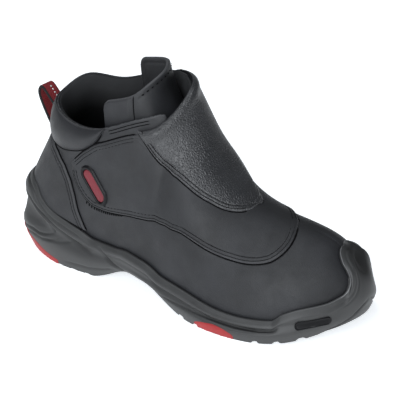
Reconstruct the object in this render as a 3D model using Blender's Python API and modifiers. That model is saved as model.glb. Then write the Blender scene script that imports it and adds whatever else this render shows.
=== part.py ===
"""Welding boot for the right foot: a lasted leather upper with an instep flap, on a moulded unit sole.

Lengths in the tables are millimetres. +X runs from heel to toe, the outer (lateral) side is -Y and +Z is up.
Every form is worked out from two tables, one for the last and one for the sole, with a row for each
station along the foot. The stations make a closed ring round the boot: heel, outer side, toe, inner side.
"""

import math

import bmesh
import bpy
import numpy as np
from mathutils import Vector

MM = 0.001

# Leather, foam and clearance
WALL = 2.2
OVERLAY = 1.5
FLAP = 2.6
GAP = 0.45
SOCK_FOAM = 4.0

# Last: the foot line is the wall's lower edge, the top line is the instep ridge or the collar.
# rise and bulge place the wall's lower handle; spread, drop and reach (towards the toe) its upper handle.
LAST_COLUMNS = (
    "foot_x outer inner foot_z top_x top_y top_half top_outer top_inner rise bulge spread drop reach".split()
)
LAST = {
    "heel_back": (8, 0, 0, 26, 35, 0, 0, 129, 129, 40, 8, -7, 34, 0),
    "heel_corner": (18, -23, 23, 26, 42, 0, 20, 126, 135, 40, 8, -6, 34, 0),
    "heel_side": (50, -33, 33, 25, 63, 0, 33, 121, 132, 36, 7, -2, 34, 0),
    "waist": (86, -34, 31, 23, 92, 0, 36, 120, 142, 36, 6, 0, 34, 0),
    "shank": (114, -37, 29, 21, 119, 0, 34, 128, 147, 36, 5, 2, 32, 0),
    "collar_front": (131, -40, 29, 19, 136, 0, 27, 134, 149, 38, 4, 6, 32, 0),
    "rim_front": (145, -42, 30, 17, 144, -1, 18, 146, 153, 41, 4, 12, 30, 2),
    "throat": (159, -45, 33, 14, 147, 0, 0, 157, 157, 46, 4, 27, 15, 8),
    "instep": (180, -47, 37, 12, 166, 0, 0, 121, 121, 42, 4, 25, 4, 3),
    "ball": (205, -49, 42, 10, 191, 2, 0, 89, 89, 35, 4, 25, 0, 0),
    "joint": (232, -46, 45, 10, 217, 4, 0, 75, 75, 31, 4, 26, 0, 0),
    "toe_side": (258, -36, 43, 13, 241, 6, 0, 71, 71, 29, 4, 22, 0, 0),
    "toe_corner": (280, -16, 32, 17, 261, 8, 0, 66, 66, 26, 4, 17, 0, 0),
    "toe_tip": (290, 9, 9, 20, 269, 9, 0, 63, 63, 23, 4, 14, 4, 0),
}

# Sole: height and overhang of each line of the side wall, from the tread's edge up to the lip below the rim.
SOLE_COLUMNS = "tread_z tread_out swell_z swell_out crease_z crease_out lip_drop lip_out".split()
SOLE = {
    "heel_back": (7, 2, 22, 9.0, 43, 5.0, 9, 6.5),
    "heel_corner": (4, 3, 20, 9.0, 38, 5.0, 9, 6.5),
    "heel_side": (0, 5, 16, 8.0, 27, 5.0, 7, 6.0),
    "waist": (0, 4, 13, 7.0, 21, 5.0, 5, 5.5),
    "shank": (13, 3, 17, 5.0, 22, 4.5, 4, 5.0),
    "collar_front": (15, 3, 18, 5.0, 21, 4.5, 4, 5.0),
    "rim_front": (13, 3, 16, 5.5, 20, 4.5, 4, 5.0),
    "throat": (9, 4, 14, 6.0, 18, 4.5, 4, 5.0),
    "instep": (1, 5, 9, 7.0, 14, 4.5, 4, 5.0),
    "ball": (0, 6, 7, 8.0, 11, 5.0, 3, 5.5),
    "joint": (0, 6, 7, 8.0, 10, 5.0, 3, 5.5),
    "toe_side": (3, 5, 11, 8.0, 17, 5.5, 4, 5.5),
    "toe_corner": (10, 3, 17, 6.0, 24, 5.0, 5, 5.0),
    "toe_tip": (14, 3, 20, 5.0, 32, 5.0, 7, 5.0),
}

# Edges drawn on the upper: station number along the foot, and share of the wall's height there.
RIM = [
    (0, 0.33), (1, 0.31), (1.3, 0.29), (1.6, 0.22), (1.9, 0.17), (2.3, 0.135), (2.7, 0.1), (3, 0.07),
    (3.6, 0.08), (4.35, 0.105), (5.35, 0.1), (6.9, 0.075), (10.6, 0.065), (10.85, 0.115), (11.2, 0.15),
    (11.9, 0.18), (12.25, 0.22), (12.4, 0.28), (12.45, 0.42), (12.5, 0.6), (12.55, 0.77), (12.7, 0.86),
    (13, 0.92),
]
OPENING = [
    (4.2, 1), (4.6, 0.95), (5, 0.9), (6, 0.83), (7, 0.74), (7.6, 0.76), (8.2, 0.84), (8.6, 0.92), (8.85, 1),
]
FLAP_EDGE = [
    (4.45, 0.97), (4.7, 0.9), (5, 0.84), (5.3, 0.77), (5.9, 0.68), (6.75, 0.55), (7.1, 0.53), (7.35, 0.54),
    (7.8, 0.56), (8.3, 0.6), (8.95, 0.68), (9.35, 0.75), (9.55, 0.8), (9.74, 0.88), (9.9, 0.97),
]
SADDLE_LOW = [
    (2.28, 0.67), (2.45, 0.54), (2.65, 0.44), (2.85, 0.39), (3.1, 0.36), (3.55, 0.35), (4.5, 0.36),
    (5.2, 0.36), (5.9, 0.35), (6.8, 0.31), (7.3, 0.32), (7.8, 0.34), (8.65, 0.38), (9.35, 0.42),
    (9.9, 0.45), (10.35, 0.5), (10.67, 0.59), (10.86, 0.7), (11.02, 0.82), (11.17, 0.93), (11.24, 0.985),
]
SADDLE_HIGH = [
    (2.28, 0.69), (2.7, 0.81), (3.1, 0.89), (3.65, 0.93), (4.3, 0.945), (4.6, 0.93), (5, 0.88), (6, 0.8),
    (7, 0.71), (7.6, 0.73), (8.2, 0.81), (8.6, 0.9), (8.9, 1),
]
CUFF_LOW = [
    (0, 0.75), (1.4, 0.745), (1.9, 0.745), (2.2, 0.78), (2.55, 0.82), (2.85, 0.87), (3.1, 0.93), (3.22, 0.97),
]
# Front edge of the heel counter, from the sole's rim up to its top corner.
COUNTER_FRONT = [
    (2.8, 0.11), (2.73, 0.15), (2.58, 0.26), (2.48, 0.38), (2.33, 0.51), (2.1, 0.61), (1.75, 0.69),
    (1.4, 0.715),
]

# Tongue: top_x, top_y, top_z and low_x, low_y, low_z of its upper and lower edge, from its outer wing round
# the front to its inner wing.
TONGUE = {
    "outer_end": (91, -26, 139, 93, -27, 117),
    "outer_wing": (116, -25, 148, 119, -27, 118),
    "outer_turn": (129, -15, 157, 168, -20, 90),
    "front": (134, 0, 163, 189, 2, 83.5),
    "inner_turn": (128, 14, 164, 166, 19, 92),
    "inner_wing": (111, 23, 162, 117, 25, 122),
    "inner_end": (88, 24, 157, 90, 25, 130),
}

# Pull loop: x and z of the webbing's centre line, in the boot's middle plane, from the cuff to the counter.
LOOP = [
    (28.1, 110.5), (26.6, 114.5), (22.5, 119.5), (18, 124.5), (15, 125.8), (13, 123), (13.2, 118.5),
    (16.2, 111), (20, 103.5), (24.9, 94.5),
]
LOOP_WIDTH = 13
LOOP_THICKNESS = 2.2

# Coloured inserts, tread lugs, badge and side plate
HEEL_INSERT = {"height": 6.5, "depth": 15, "reach": 1.95}
BALL_INSERT = {"middle": 216, "half_length": 17, "height": 7}
GROOVE_WIDTH = 4
GROOVE_DEPTH = 4
HEEL_GROOVES = [54, 67, 80]
BALL_GROOVES = [178, 192, 240, 254, 268]
BADGE = {"lower": (3.4, 0.42), "upper": (2.75, 0.67), "half_width": 4.5, "frame": 2.0, "height": 1.4}
PLATE = {"rear": (11.15, 17), "front": (11.95, 20), "half_width": 3.4, "height": 0.8}

STATIONS = list(LAST)
LAST_STATION = len(STATIONS) - 1
RING = 2 * LAST_STATION


def ring_rows(table):
    """The table's rows in ring order: heel to toe along the outer side, then back along the inner side."""
    rows = [table[name] for name in STATIONS]
    return rows + rows[-2:0:-1]


def ring_spline(knots):
    """A closed cubic spline through one value for each station of the ring."""
    knots = np.asarray(knots, float)
    count = len(knots)
    bends = 4 * np.eye(count) + np.roll(np.eye(count), 1, 0) + np.roll(np.eye(count), -1, 0)
    curve = np.linalg.solve(bends, 6 * (np.roll(knots, 1) - 2 * knots + np.roll(knots, -1)))

    def value(u):
        u = np.asarray(u, float) % count
        low = np.floor(u).astype(int) % count
        high = (low + 1) % count
        s = u - np.floor(u)
        r = 1 - s
        bent = (r**3 - r) * curve[low] + (s**3 - s) * curve[high]
        return r * knots[low] + s * knots[high] + bent / 6

    return value


def column_splines(table, columns):
    rows = ring_rows(table)
    return {name: ring_spline([row[k] for row in rows]) for k, name in enumerate(columns)}


LAST_AT = column_splines(LAST, LAST_COLUMNS)
SOLE_AT = column_splines(SOLE, SOLE_COLUMNS)


def side_of(u):
    """-1 on the outer side of the ring, +1 on the inner side."""
    return np.where(np.asarray(u) % RING <= LAST_STATION, -1.0, 1.0)


def station_of(u):
    """Station number along the foot, the same on both sides: 0 at the heel, LAST_STATION at the toe."""
    u = np.asarray(u, float) % RING
    return np.minimum(u, RING - u)


def two_sided(outer, inner, outer_sign=1):
    """A spline that takes one column of the last on the outer side and another on the inner side."""
    sides = [(outer, outer_sign)] * (LAST_STATION + 1) + [(inner, 1)] * (LAST_STATION - 1)
    rows = ring_rows(LAST)
    return ring_spline([sign * row[LAST_COLUMNS.index(column)] for row, (column, sign) in zip(rows, sides)])


FOOT_Y = two_sided("outer", "inner")
TOP_Z = two_sided("top_outer", "top_inner")
TOP_SIDE = two_sided("top_half", "top_half", -1)
THROAT = STATIONS.index("throat")


def foot_line(u):
    return np.stack([LAST_AT["foot_x"](u), FOOT_Y(u), LAST_AT["foot_z"](u)], -1)


def top_line(u):
    """Collar edge behind the throat, instep ridge in front of it, where both sides meet."""
    collar = station_of(u) < THROAT
    aside = np.where(collar, TOP_SIDE(u), 0)
    height = np.where(collar, TOP_Z(u), (TOP_Z(u) + TOP_Z(RING - np.asarray(u))) / 2)
    return np.stack([LAST_AT["top_x"](u), LAST_AT["top_y"](u) + aside, height], -1)


def outward(u):
    """Level unit vector out of the boot, square to the foot line in plan."""
    step = 1e-3
    run = foot_line(np.asarray(u) + step) - foot_line(np.asarray(u) - step)
    level = np.stack([run[..., 1], -run[..., 0], np.zeros_like(run[..., 0])], -1)
    return level / np.linalg.norm(level, axis=-1, keepdims=True)


def wall(u, share):
    """Outer face of the upper: share 0 on the foot line, 1 on the top line."""
    u, share = np.broadcast_arrays(np.asarray(u, float), np.asarray(share, float))
    foot, top, out = foot_line(u), top_line(u), outward(u)
    up, ahead = np.array([0.0, 0.0, 1.0]), np.array([1.0, 0.0, 0.0])
    low = foot + out * LAST_AT["bulge"](u)[..., None] + up * LAST_AT["rise"](u)[..., None]
    high = top + out * LAST_AT["spread"](u)[..., None] - up * LAST_AT["drop"](u)[..., None]
    high = high + ahead * LAST_AT["reach"](u)[..., None]
    v = share[..., None]
    w = 1 - v
    return w**3 * foot + 3 * w * w * v * low + 3 * w * v * v * high + v**3 * top


def wall_normal(u, share):
    u, share = np.broadcast_arrays(np.asarray(u, float), np.asarray(share, float))
    step = 1e-3
    inside = np.clip(share, step, 1 - 2 * step)
    along = wall(u + step, inside) - wall(u - step, inside)
    rising = wall(u, inside + step) - wall(u, inside - step)
    normal = np.cross(along, rising)
    return normal / np.linalg.norm(normal, axis=-1, keepdims=True)


def lifted(u, share, lift):
    """A point off the wall; on the ridge both sides lift the same way."""
    u, share = np.broadcast_arrays(np.asarray(u, float), np.asarray(share, float))
    normal = wall_normal(u, share)
    ridge = (share > 1 - 1e-6) & (station_of(u) >= THROAT)
    shared = normal + wall_normal(RING - u, share)
    shared = shared / np.linalg.norm(shared, axis=-1, keepdims=True)
    return wall(u, share) + np.where(ridge[..., None], shared, normal) * lift


def share_at_height(u, height):
    """Share of the wall at which it reaches a height."""
    u, height = np.broadcast_arrays(np.asarray(u, float), np.asarray(height, float))
    low, high = np.zeros_like(u), np.ones_like(u)
    for _ in range(30):
        middle = (low + high) / 2
        below = wall(u, middle)[..., 2] < height
        low, high = np.where(below, middle, low), np.where(below, high, middle)
    return (low + high) / 2


def along_edge(table, u):
    """Share of the wall on a drawn edge."""
    stations, shares = zip(*table)
    return np.interp(station_of(u), stations, shares)


def sole_line(u, line):
    """One line of the sole's side wall, as points."""
    rim = wall(u, along_edge(RIM, u))[..., 2]
    lip = rim - SOLE_AT["lip_drop"](u)
    crease = np.minimum(SOLE_AT["crease_z"](u), lip - 2)
    swell = np.minimum(SOLE_AT["swell_z"](u), crease - 2)
    tread = np.maximum(SOLE_AT["tread_z"](u), 0)
    height = {"lip": lip, "crease": crease, "swell": swell, "tread": tread}[line]
    return sole_side(u, height, SOLE_AT[line + "_out"](u))


def sole_side(u, height, out):
    """A point at a height, standing out from the wall, or from the foot line where that is higher."""
    foot = foot_line(u)
    rise = height - foot[..., 2]
    share = share_at_height(u, height)
    level = np.concatenate([foot[..., :2], height[..., None]], -1)
    base = np.where((rise > 0)[..., None], wall(u, share), level)
    turn = np.clip(rise / 10, 0, 1)[..., None]
    lean = (1 - turn) * outward(u) + turn * wall_normal(u, share)
    return base + lean / np.linalg.norm(lean, axis=-1, keepdims=True) * out[..., None]


def ring_columns():
    """Places round the ring at which every piece has a section, closer together round the heel and toe."""
    side = [k / 4 for k in range(8)] + [2 + k / 2 for k in range(18)] + [11 + k / 4 for k in range(8)]
    side += [12.4, 12.45, 12.55]
    side = sorted(side)
    return np.array(side + [LAST_STATION] + [RING - u for u in side[:0:-1]])


COLUMNS = ring_columns()


def columns_between(first, last, more=()):
    inside = [u for u in COLUMNS if first + 0.04 < u < last - 0.04]
    inside = [u for u in inside if all(abs(u - extra) > 0.04 for extra in more)]
    return np.array(sorted([first, last, *inside, *more]))


def add_sheet(bm, points):
    """Quads over a grid of points."""
    rows = [[bm.verts.new(Vector(p) * MM) for p in column] for column in points]
    for left, right in zip(rows, rows[1:]):
        for k in range(len(left) - 1):
            bm.faces.new((left[k], right[k], right[k + 1], left[k + 1]))


def add_loft(bm, rings, closed=False):
    """A skin over rings of the same count; open ends get caps that join each ring's two halves."""
    loops = [[bm.verts.new(Vector(p) * MM) for p in ring] for ring in rings]
    count = len(loops[0])
    for near, far in zip(loops, loops[1:] + loops[:1] if closed else loops[1:]):
        for k in range(count):
            after = (k + 1) % count
            bm.faces.new((near[k], far[k], far[after], near[after]))
    if not closed:
        half = count // 2
        for loop in (loops[0], loops[-1]):
            for k in range(half - 1):
                bm.faces.new((loop[k], loop[k + 1], loop[count - 2 - k], loop[count - 1 - k]))


def add_disc(bm, rings):
    """A skin over rings from the middle of one face, over the edge, to the middle of the other."""
    loops = [[bm.verts.new(Vector(p) * MM) for p in ring] for ring in rings]
    count = len(loops[0])
    for near, far in zip(loops, loops[1:]):
        for k in range(count):
            after = (k + 1) % count
            bm.faces.new((near[k], far[k], far[after], near[after]))
    bm.faces.new(loops[0])
    bm.faces.new(loops[-1][::-1])


MATERIALS = {
    "leather": ((0.06, 0.062, 0.066), 0.6),
    "leather_grain": ((0.065, 0.067, 0.071), 0.45),
    "rubber": ((0.075, 0.078, 0.078), 0.7),
    "rubber_red": ((0.58, 0.045, 0.045), 0.6),
    "webbing": ((0.4, 0.04, 0.05), 0.9),
    "badge_red": ((0.38, 0.045, 0.07), 0.5),
    "trim_black": ((0.02, 0.02, 0.022), 0.5),
    "sock": ((0.03, 0.03, 0.032), 0.95),
}


def material(name):
    made = bpy.data.materials.get(name)
    if made is None:
        made = bpy.data.materials.new(name)
        made.use_nodes = True
        colour, roughness = MATERIALS[name]
        shader = made.node_tree.nodes["Principled BSDF"]
        shader.inputs["Base Color"].default_value = (*colour, 1)
        shader.inputs["Roughness"].default_value = roughness
    return made


def piece(name, bm, slot, weld=True):
    """Turn a bmesh into a named object, with its mesh moved so that the boot stands on its own centre."""
    if weld:
        bmesh.ops.remove_doubles(bm, verts=bm.verts, dist=0.00005)
    bmesh.ops.translate(bm, verts=bm.verts, vec=(-MIDDLE_X * MM, -MIDDLE_Y * MM, 0))
    mesh = bpy.data.meshes.new(name)
    bm.to_mesh(mesh)
    bm.free()
    made = bpy.data.objects.new(name, mesh)
    made.data.materials.append(material(slot))
    bpy.context.scene.collection.objects.link(made)
    return made


def thicken(made, thickness, side):
    """Give a sheet its thickness, to the outside (+1) or the inside (-1) of its drawn face."""
    solid = made.modifiers.new("Leather", "SOLIDIFY")
    solid.thickness = thickness * MM
    solid.offset = side
    solid.use_quality_normals = True


def close_up(bm):
    bmesh.ops.remove_doubles(bm, verts=bm.verts, dist=0.00005)
    bmesh.ops.recalc_face_normals(bm, faces=bm.faces)


def smooth_rows(points, steps):
    """More rows through a few control rows, on a curve through all of them."""
    count = len(points)
    rows = []
    for k in range(count - 1):
        before, here = points[max(k - 1, 0)], points[k]
        there, after = points[k + 1], points[min(k + 2, count - 1)]
        for step in range(steps):
            t = step / steps
            rows.append(
                here
                + 0.5 * t * (there - before)
                + t * t * (before - 2.5 * here + 2 * there - 0.5 * after)
                + t**3 * (1.5 * (here - there) + 0.5 * (after - before))
            )
    return rows + [points[-1]]


RIM_THICKNESS = 3.0
CUP_ROWS = 5


def sole_outside(u):
    """Rows of the sole's side wall, from the tread's edge to the top of the rim."""
    crest = lifted(u, along_edge(RIM, u), RIM_THICKNESS)
    return smooth_rows([sole_line(u, line) for line in ("tread", "swell", "crease", "lip")] + [crest], 2)


def centre_of_outline():
    """Middle of the boot's outline, so that the origin is under the middle of its bounding box."""
    edge = np.concatenate(sole_outside(COLUMNS))
    return [(edge[:, k].min() + edge[:, k].max()) / 2 for k in (0, 1)]


MIDDLE_X, MIDDLE_Y = centre_of_outline()


def sole_rings():
    """Closed lines of the sole from its tread edge, up the side, over the rim and down inside to the bed."""
    u = COLUMNS
    rings = sole_outside(u)
    for row in range(CUP_ROWS + 1):
        rings.append(lifted(u, along_edge(RIM, u) * (1 - row / CUP_ROWS), 1.5 * GAP))
    bed = foot_line(u) + outward(u) * GAP
    bed[:, 2] -= GAP
    return rings + [bed]


def add_ladder(bm, ring, count):
    """Flat strips from side to side between the two halves of a ring that starts at the heel."""
    half = count // 2
    for k in range(half):
        corners = [ring[k], ring[k + 1], ring[(count - k - 1) % count], ring[(count - k) % count]]
        bm.faces.new(list(dict.fromkeys(corners)))


def sole_blank(name, slot="rubber"):
    bm = bmesh.new()
    rings = [[bm.verts.new(Vector(p) * MM) for p in ring] for ring in sole_rings()]
    count = len(COLUMNS)
    for low, high in zip(rings, rings[1:]):
        for k in range(count):
            after = (k + 1) % count
            bm.faces.new((low[k], low[after], high[after], high[k]))
    add_ladder(bm, rings[0], count)
    add_ladder(bm, rings[-1], count)
    close_up(bm)
    return piece(name, bm, slot, weld=False)


def build_insole():
    bm = bmesh.new()
    u = COLUMNS
    edge = foot_line(u) - outward(u) * (WALL + 1)
    rings = []
    for lift in (0.1, SOCK_FOAM):
        ring = edge.copy()
        ring[:, 2] += lift
        rings.append([bm.verts.new(Vector(p) * MM) for p in ring])
    count = len(u)
    for k in range(count):
        after = (k + 1) % count
        bm.faces.new((rings[0][k], rings[0][after], rings[1][after], rings[1][k]))
    for ring in rings:
        add_ladder(bm, ring, count)
    close_up(bm)
    return piece("insole", bm, "sock", weld=False)


UPPER_ROWS = 10


def build_upper():
    """The lasted leather shell: open underneath, at the collar and down the throat under the flap."""
    bm = bmesh.new()
    u = np.append(COLUMNS, RING)
    top = along_edge(OPENING, u)
    points = [wall(u, top * row / UPPER_ROWS) for row in range(UPPER_ROWS + 1)]
    add_sheet(bm, np.stack(points, 1))
    made = piece("upper", bm, "leather")
    thicken(made, WALL, -1)
    return made


def overlay_sheet(bm, u, low, high, rows, lift):
    points = []
    for row in range(rows + 1):
        share = low + (high - low) * row / rows
        points.append(lifted(u, share, lift))
    add_sheet(bm, np.stack(points, 1))


def both_sides(bm, u, low, high, rows, lift):
    """The same overlay on the outer and the inner side, joined where the two meet on the ridge."""
    overlay_sheet(bm, u, low, high, rows, lift)
    overlay_sheet(bm, (RING - u)[::-1], low[::-1], high[::-1], rows, lift)


SADDLE_ROWS = 5
FLAP_ROWS = 7
OVERLAY_LIFT = 2 * GAP
FLAP_LIFT = 2 * OVERLAY_LIFT + OVERLAY


def build_saddle():
    """The panel over the instep: a horseshoe with its open end at the collar."""
    bm = bmesh.new()
    corners = [row[0] for row in SADDLE_LOW[1:-1] if not 3 < row[0] < 10.4]
    u = columns_between(SADDLE_LOW[0][0], SADDLE_LOW[-1][0], corners)
    both_sides(bm, u, along_edge(SADDLE_LOW, u), along_edge(SADDLE_HIGH, u), SADDLE_ROWS, OVERLAY_LIFT)
    made = piece("saddle", bm, "leather")
    thicken(made, OVERLAY, 1)
    return made


def build_flap():
    """The guard over the instep, sewn on at its lower edge and open at the top."""
    bm = bmesh.new()
    corners = [row[0] for row in FLAP_EDGE[1:-1] if row[0] > 9.2]
    u = columns_between(FLAP_EDGE[0][0], FLAP_EDGE[-1][0], corners)
    both_sides(bm, u, along_edge(FLAP_EDGE, u), np.ones_like(u), FLAP_ROWS, FLAP_LIFT)
    made = piece("instep_flap", bm, "leather_grain")
    thicken(made, FLAP, 1)
    return made


COUNTER_COLUMNS = 18
COUNTER_ROWS = 7
COUNTER_CLEAR = 0.02


def build_counter():
    """The heel counter: between the sole's rim and the cuff, cut to its front edge on both sides."""
    bm = bmesh.new()
    front_u, front_share = (np.array(column) for column in zip(*COUNTER_FRONT))
    top = front_share[-1]
    steps = np.linspace(0, 1, len(front_u))
    across = np.linspace(-1, 1, COUNTER_COLUMNS + 1)
    points = []
    for row in range(COUNTER_ROWS + 1):
        s = row / COUNTER_ROWS
        edge_u, edge_share = np.interp(s, steps, front_u), np.interp(s, steps, front_share)
        edge_low = along_edge(RIM, edge_u) + COUNTER_CLEAR
        edge_rise = max(edge_share - edge_low, 0) / (top - edge_low)
        u = across * edge_u
        low = along_edge(RIM, u) + COUNTER_CLEAR
        rise = (1 - across**2) * s + across**2 * edge_rise
        points.append(lifted(u, low + (top - low) * rise, OVERLAY_LIFT))
    add_sheet(bm, np.stack(points, 1))
    made = piece("heel_counter", bm, "leather")
    thicken(made, OVERLAY, 1)
    return made


CUFF_ROWS = 7
CUFF_EDGE = 1.2
CUFF_PAD = 4.5


def build_cuff():
    """The padded cuff round the back of the collar, thin at its seams and full in the middle."""
    bm = bmesh.new()
    side = columns_between(0, CUFF_LOW[-1][0], [3.1])
    rings = []
    for u in np.concatenate([-side[:0:-1], side]):
        low = along_edge(CUFF_LOW, u)
        fade = math.sqrt(max(1 - (u / side[-1]) ** 4, 0))
        inner, outer = [], []
        for row in range(CUFF_ROWS + 1):
            s = row / CUFF_ROWS
            share = low + (1 - low) * s
            pad = CUFF_EDGE + CUFF_PAD * fade * math.sin(math.pi * s) ** 0.8
            inner.append(lifted(u, share, GAP))
            outer.append(lifted(u, share, GAP + pad))
        rings.append(inner + outer[::-1])
    add_loft(bm, rings)
    close_up(bm)
    return piece("collar_cuff", bm, "leather", weld=False)


TONGUE_THICKNESS = 3.0
TONGUE_ROWS = 6


def build_tongue():
    bm = bmesh.new()
    rows = np.array(smooth_rows([np.array(row, float) for row in TONGUE.values()], 3))
    top, low = rows[:, :3], rows[:, 3:]
    points = [low + (top - low) * row / TONGUE_ROWS for row in range(TONGUE_ROWS + 1)]
    add_sheet(bm, np.stack(points, 1))
    made = piece("tongue", bm, "leather")
    thicken(made, TONGUE_THICKNESS, -1)
    return made


def build_loop():
    bm = bmesh.new()
    path = np.array(smooth_rows([np.array(row, float) for row in LOOP], 2))
    run = np.gradient(path, axis=0)
    run /= np.linalg.norm(run, axis=1, keepdims=True)
    rings = []
    for (x, z), (dx, dz) in zip(path, run):
        half = LOOP_THICKNESS / 2
        inside = (x - dz * half, z + dx * half)
        outside = (x + dz * half, z - dx * half)
        edge = LOOP_WIDTH / 2
        corners = ((inside, -edge), (inside, edge), (outside, edge), (outside, -edge))
        rings.append([(px, y, pz) for (px, pz), y in corners])
    add_loft(bm, rings)
    close_up(bm)
    return piece("pull_loop", bm, "webbing", weld=False)


def capsule(half_length, radius, count=20):
    """Outline of a bar with round ends, as pairs of distances along and across it."""
    turn = [2 * math.pi * (k + 0.5) / count for k in range(count)]
    points = [(radius * math.cos(a), radius * math.sin(a)) for a in turn]
    return [(math.copysign(half_length, along) + along, aside) for along, aside in points]


def wall_patch(lower, upper):
    """Millimetres along and across a line on the wall, turned into places on the wall."""
    middle = (np.array(lower) + np.array(upper)) / 2
    step = 1e-3
    by_u = (wall(middle[0] + step, middle[1]) - wall(middle[0] - step, middle[1])) / (2 * step)
    by_share = (wall(middle[0], middle[1] + step) - wall(middle[0], middle[1] - step)) / (2 * step)
    line = wall(*upper) - wall(*lower)
    length = np.linalg.norm(line)
    line /= length
    across = np.cross(wall_normal(*middle), line)
    slope = np.linalg.inv([[by_u @ line, by_share @ line], [by_u @ across, by_share @ across]])

    def place(along, aside, lift):
        u, share = middle + slope @ (along, aside)
        return lifted(u, share, lift)

    return place, length / 2


def build_badge():
    """A bare oval badge on the saddle, and the frame round it."""
    place, half_length = wall_patch(BADGE["lower"], BADGE["upper"])
    half_length -= BADGE["half_width"]
    low = OVERLAY_LIFT + OVERLAY + GAP
    high = low + BADGE["height"]
    bm = bmesh.new()
    rings = []
    for radius, lift in ((0.4, low), (1, low), (1, high - 0.5), (0.75, high - 0.5)):
        outline = capsule(half_length, BADGE["half_width"] * radius)
        rings.append([place(a, b, lift) for a, b in outline])
    add_disc(bm, rings)
    close_up(bm)
    badge = piece("badge", bm, "badge_red", weld=False)
    bm = bmesh.new()
    inner = capsule(half_length, BADGE["half_width"] + 0.35)
    outer = capsule(half_length, BADGE["half_width"] + 0.35 + BADGE["frame"])
    rings = [
        [place(*a, low), place(*b, low), place(*b, high - 0.4), place(*a, high)] for a, b in zip(inner, outer)
    ]
    add_loft(bm, rings, closed=True)
    close_up(bm)
    return [badge, piece("badge_frame", bm, "trim_black", weld=False)]


PLATE_CLEAR = 0.9


def build_plate():
    """A bare oval plate on the outer side of the toe bumper."""
    rear, front = np.array(PLATE["rear"]), np.array(PLATE["front"])
    length = np.linalg.norm((sole_line(front[0], "swell") - sole_line(rear[0], "swell"))[:2])

    def place(along, aside, lift):
        u, height = rear + (front - rear) * (along / length + 0.5)
        rows = np.array(sole_outside(np.array([u])))[:, 0]
        point = np.array([np.interp(height + aside, rows[:, 2], rows[:, k]) for k in range(3)])
        return point + outward(u) * lift

    bm = bmesh.new()
    half_length = length / 2 - PLATE["half_width"]
    low, high = PLATE_CLEAR, PLATE_CLEAR + PLATE["height"]
    rings = []
    for radius, lift in ((0.45, low), (1, low), (1, high), (0.45, high)):
        outline = capsule(half_length, PLATE["half_width"] * radius)
        rings.append([place(a, b, lift) for a, b in outline])
    add_disc(bm, rings)
    close_up(bm)
    return piece("side_plate", bm, "trim_black", weld=False)


def cutters():
    found = bpy.data.collections.get("Cutters")
    if found is None:
        found = bpy.data.collections.new("Cutters")
        bpy.context.scene.collection.children.link(found)
    return found


def cutter(name, bm):
    close_up(bm)
    made = piece(name, bm, "rubber", weld=False)
    bpy.context.scene.collection.objects.unlink(made)
    cutters().objects.link(made)
    made.hide_render = True
    made.display_type = "WIRE"
    return made


def boolean(made, operation, other):
    modifier = made.modifiers.new(other.name, "BOOLEAN")
    modifier.solver = "EXACT"
    modifier.operation = operation
    modifier.object = other


BELOW = -6
BESIDE = 90


def heel_region(name, grow):
    """The space of the heel insert: a band round the back of the tread."""
    bm = bmesh.new()
    reach = HEEL_INSERT["reach"] + grow * 0.03
    top = HEEL_INSERT["height"] + grow
    rings = []
    for u in np.linspace(-reach, reach, 21):
        edge, out = sole_line(u, "tread"), outward(u)
        inner = edge - out * (HEEL_INSERT["depth"] + grow)
        outer = edge + out * HEEL_INSERT["depth"]
        corners = ((inner, BELOW), (outer, BELOW), (outer, top), (inner, top))
        rings.append([(x, y, z) for (x, y, _), z in corners])
    add_loft(bm, rings)
    return cutter(name, bm)


def ball_region(name, grow):
    """The space of the forefoot insert: a bar across the tread with an arched top."""
    bm = bmesh.new()
    half = BALL_INSERT["half_length"] + grow
    arch = [t / 6 for t in range(-6, 7)]
    profile = [(half * t, (BALL_INSERT["height"] + grow) * (1 - t * t)) for t in arch]
    profile = [(-half, BELOW), *profile, (half, BELOW)]
    rings = []
    for y in (-BESIDE, BESIDE):
        rings.append([(BALL_INSERT["middle"] + x, y, z) for x, z in profile])
    add_disc(bm, rings)
    return cutter(name, bm)


def tread_height(x):
    stations = [LAST[name][0] for name in STATIONS]
    return np.interp(x, stations, [SOLE[name][0] for name in STATIONS])


def add_box(bm, x_range, y_range, z_range):
    (left, right), (low, high) = y_range, z_range
    corners = ((left, low), (right, low), (right, high), (left, high))
    add_disc(bm, [[(x, y, z) for y, z in corners] for x in x_range])


def cross_grooves():
    bm = bmesh.new()
    for x in HEEL_GROOVES + BALL_GROOVES:
        top = tread_height(x) + GROOVE_DEPTH
        add_box(bm, (x - GROOVE_WIDTH / 2, x + GROOVE_WIDTH / 2), (-BESIDE, BESIDE), (BELOW, top))
    return cutter("cross_grooves", bm)


def long_grooves():
    bm = bmesh.new()
    for first, last, y in ((32, 108, 0), (160, 262, -17), (160, 262, 17)):
        add_box(bm, (first, last), (y - GROOVE_WIDTH / 2, y + GROOVE_WIDTH / 2), (BELOW, GROOVE_DEPTH - 0.7))
    return cutter("long_grooves", bm)


def build_sole():
    sole = sole_blank("sole_unit")
    for region, label in ((heel_region, "heel_insert"), (ball_region, "ball_insert")):
        insert = sole_blank(label, "rubber_red")
        boolean(insert, "INTERSECT", region(label + "_space", 0))
        boolean(sole, "DIFFERENCE", region(label + "_pocket", 0.35))
    boolean(sole, "DIFFERENCE", cross_grooves())
    boolean(sole, "DIFFERENCE", long_grooves())
    return sole


def clear_scene():
    for old in list(bpy.data.objects):
        bpy.data.objects.remove(old, do_unlink=True)


def main():
    clear_scene()
    build_sole()
    build_insole()
    build_upper()
    build_tongue()
    build_saddle()
    build_flap()
    build_counter()
    build_cuff()
    build_loop()
    build_badge()
    build_plate()


main()
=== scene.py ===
"""Looks of a right welding boot: charcoal leather with a pebbled instep flap, on a moulded rubber sole.

Table sizes are millimetres in the boot's own frame: +X from heel to toe, the outer side at -Y, +Z up.
Every panel is drawn on the wall of the last, by station along the foot and share of the wall's height.
"""

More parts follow.
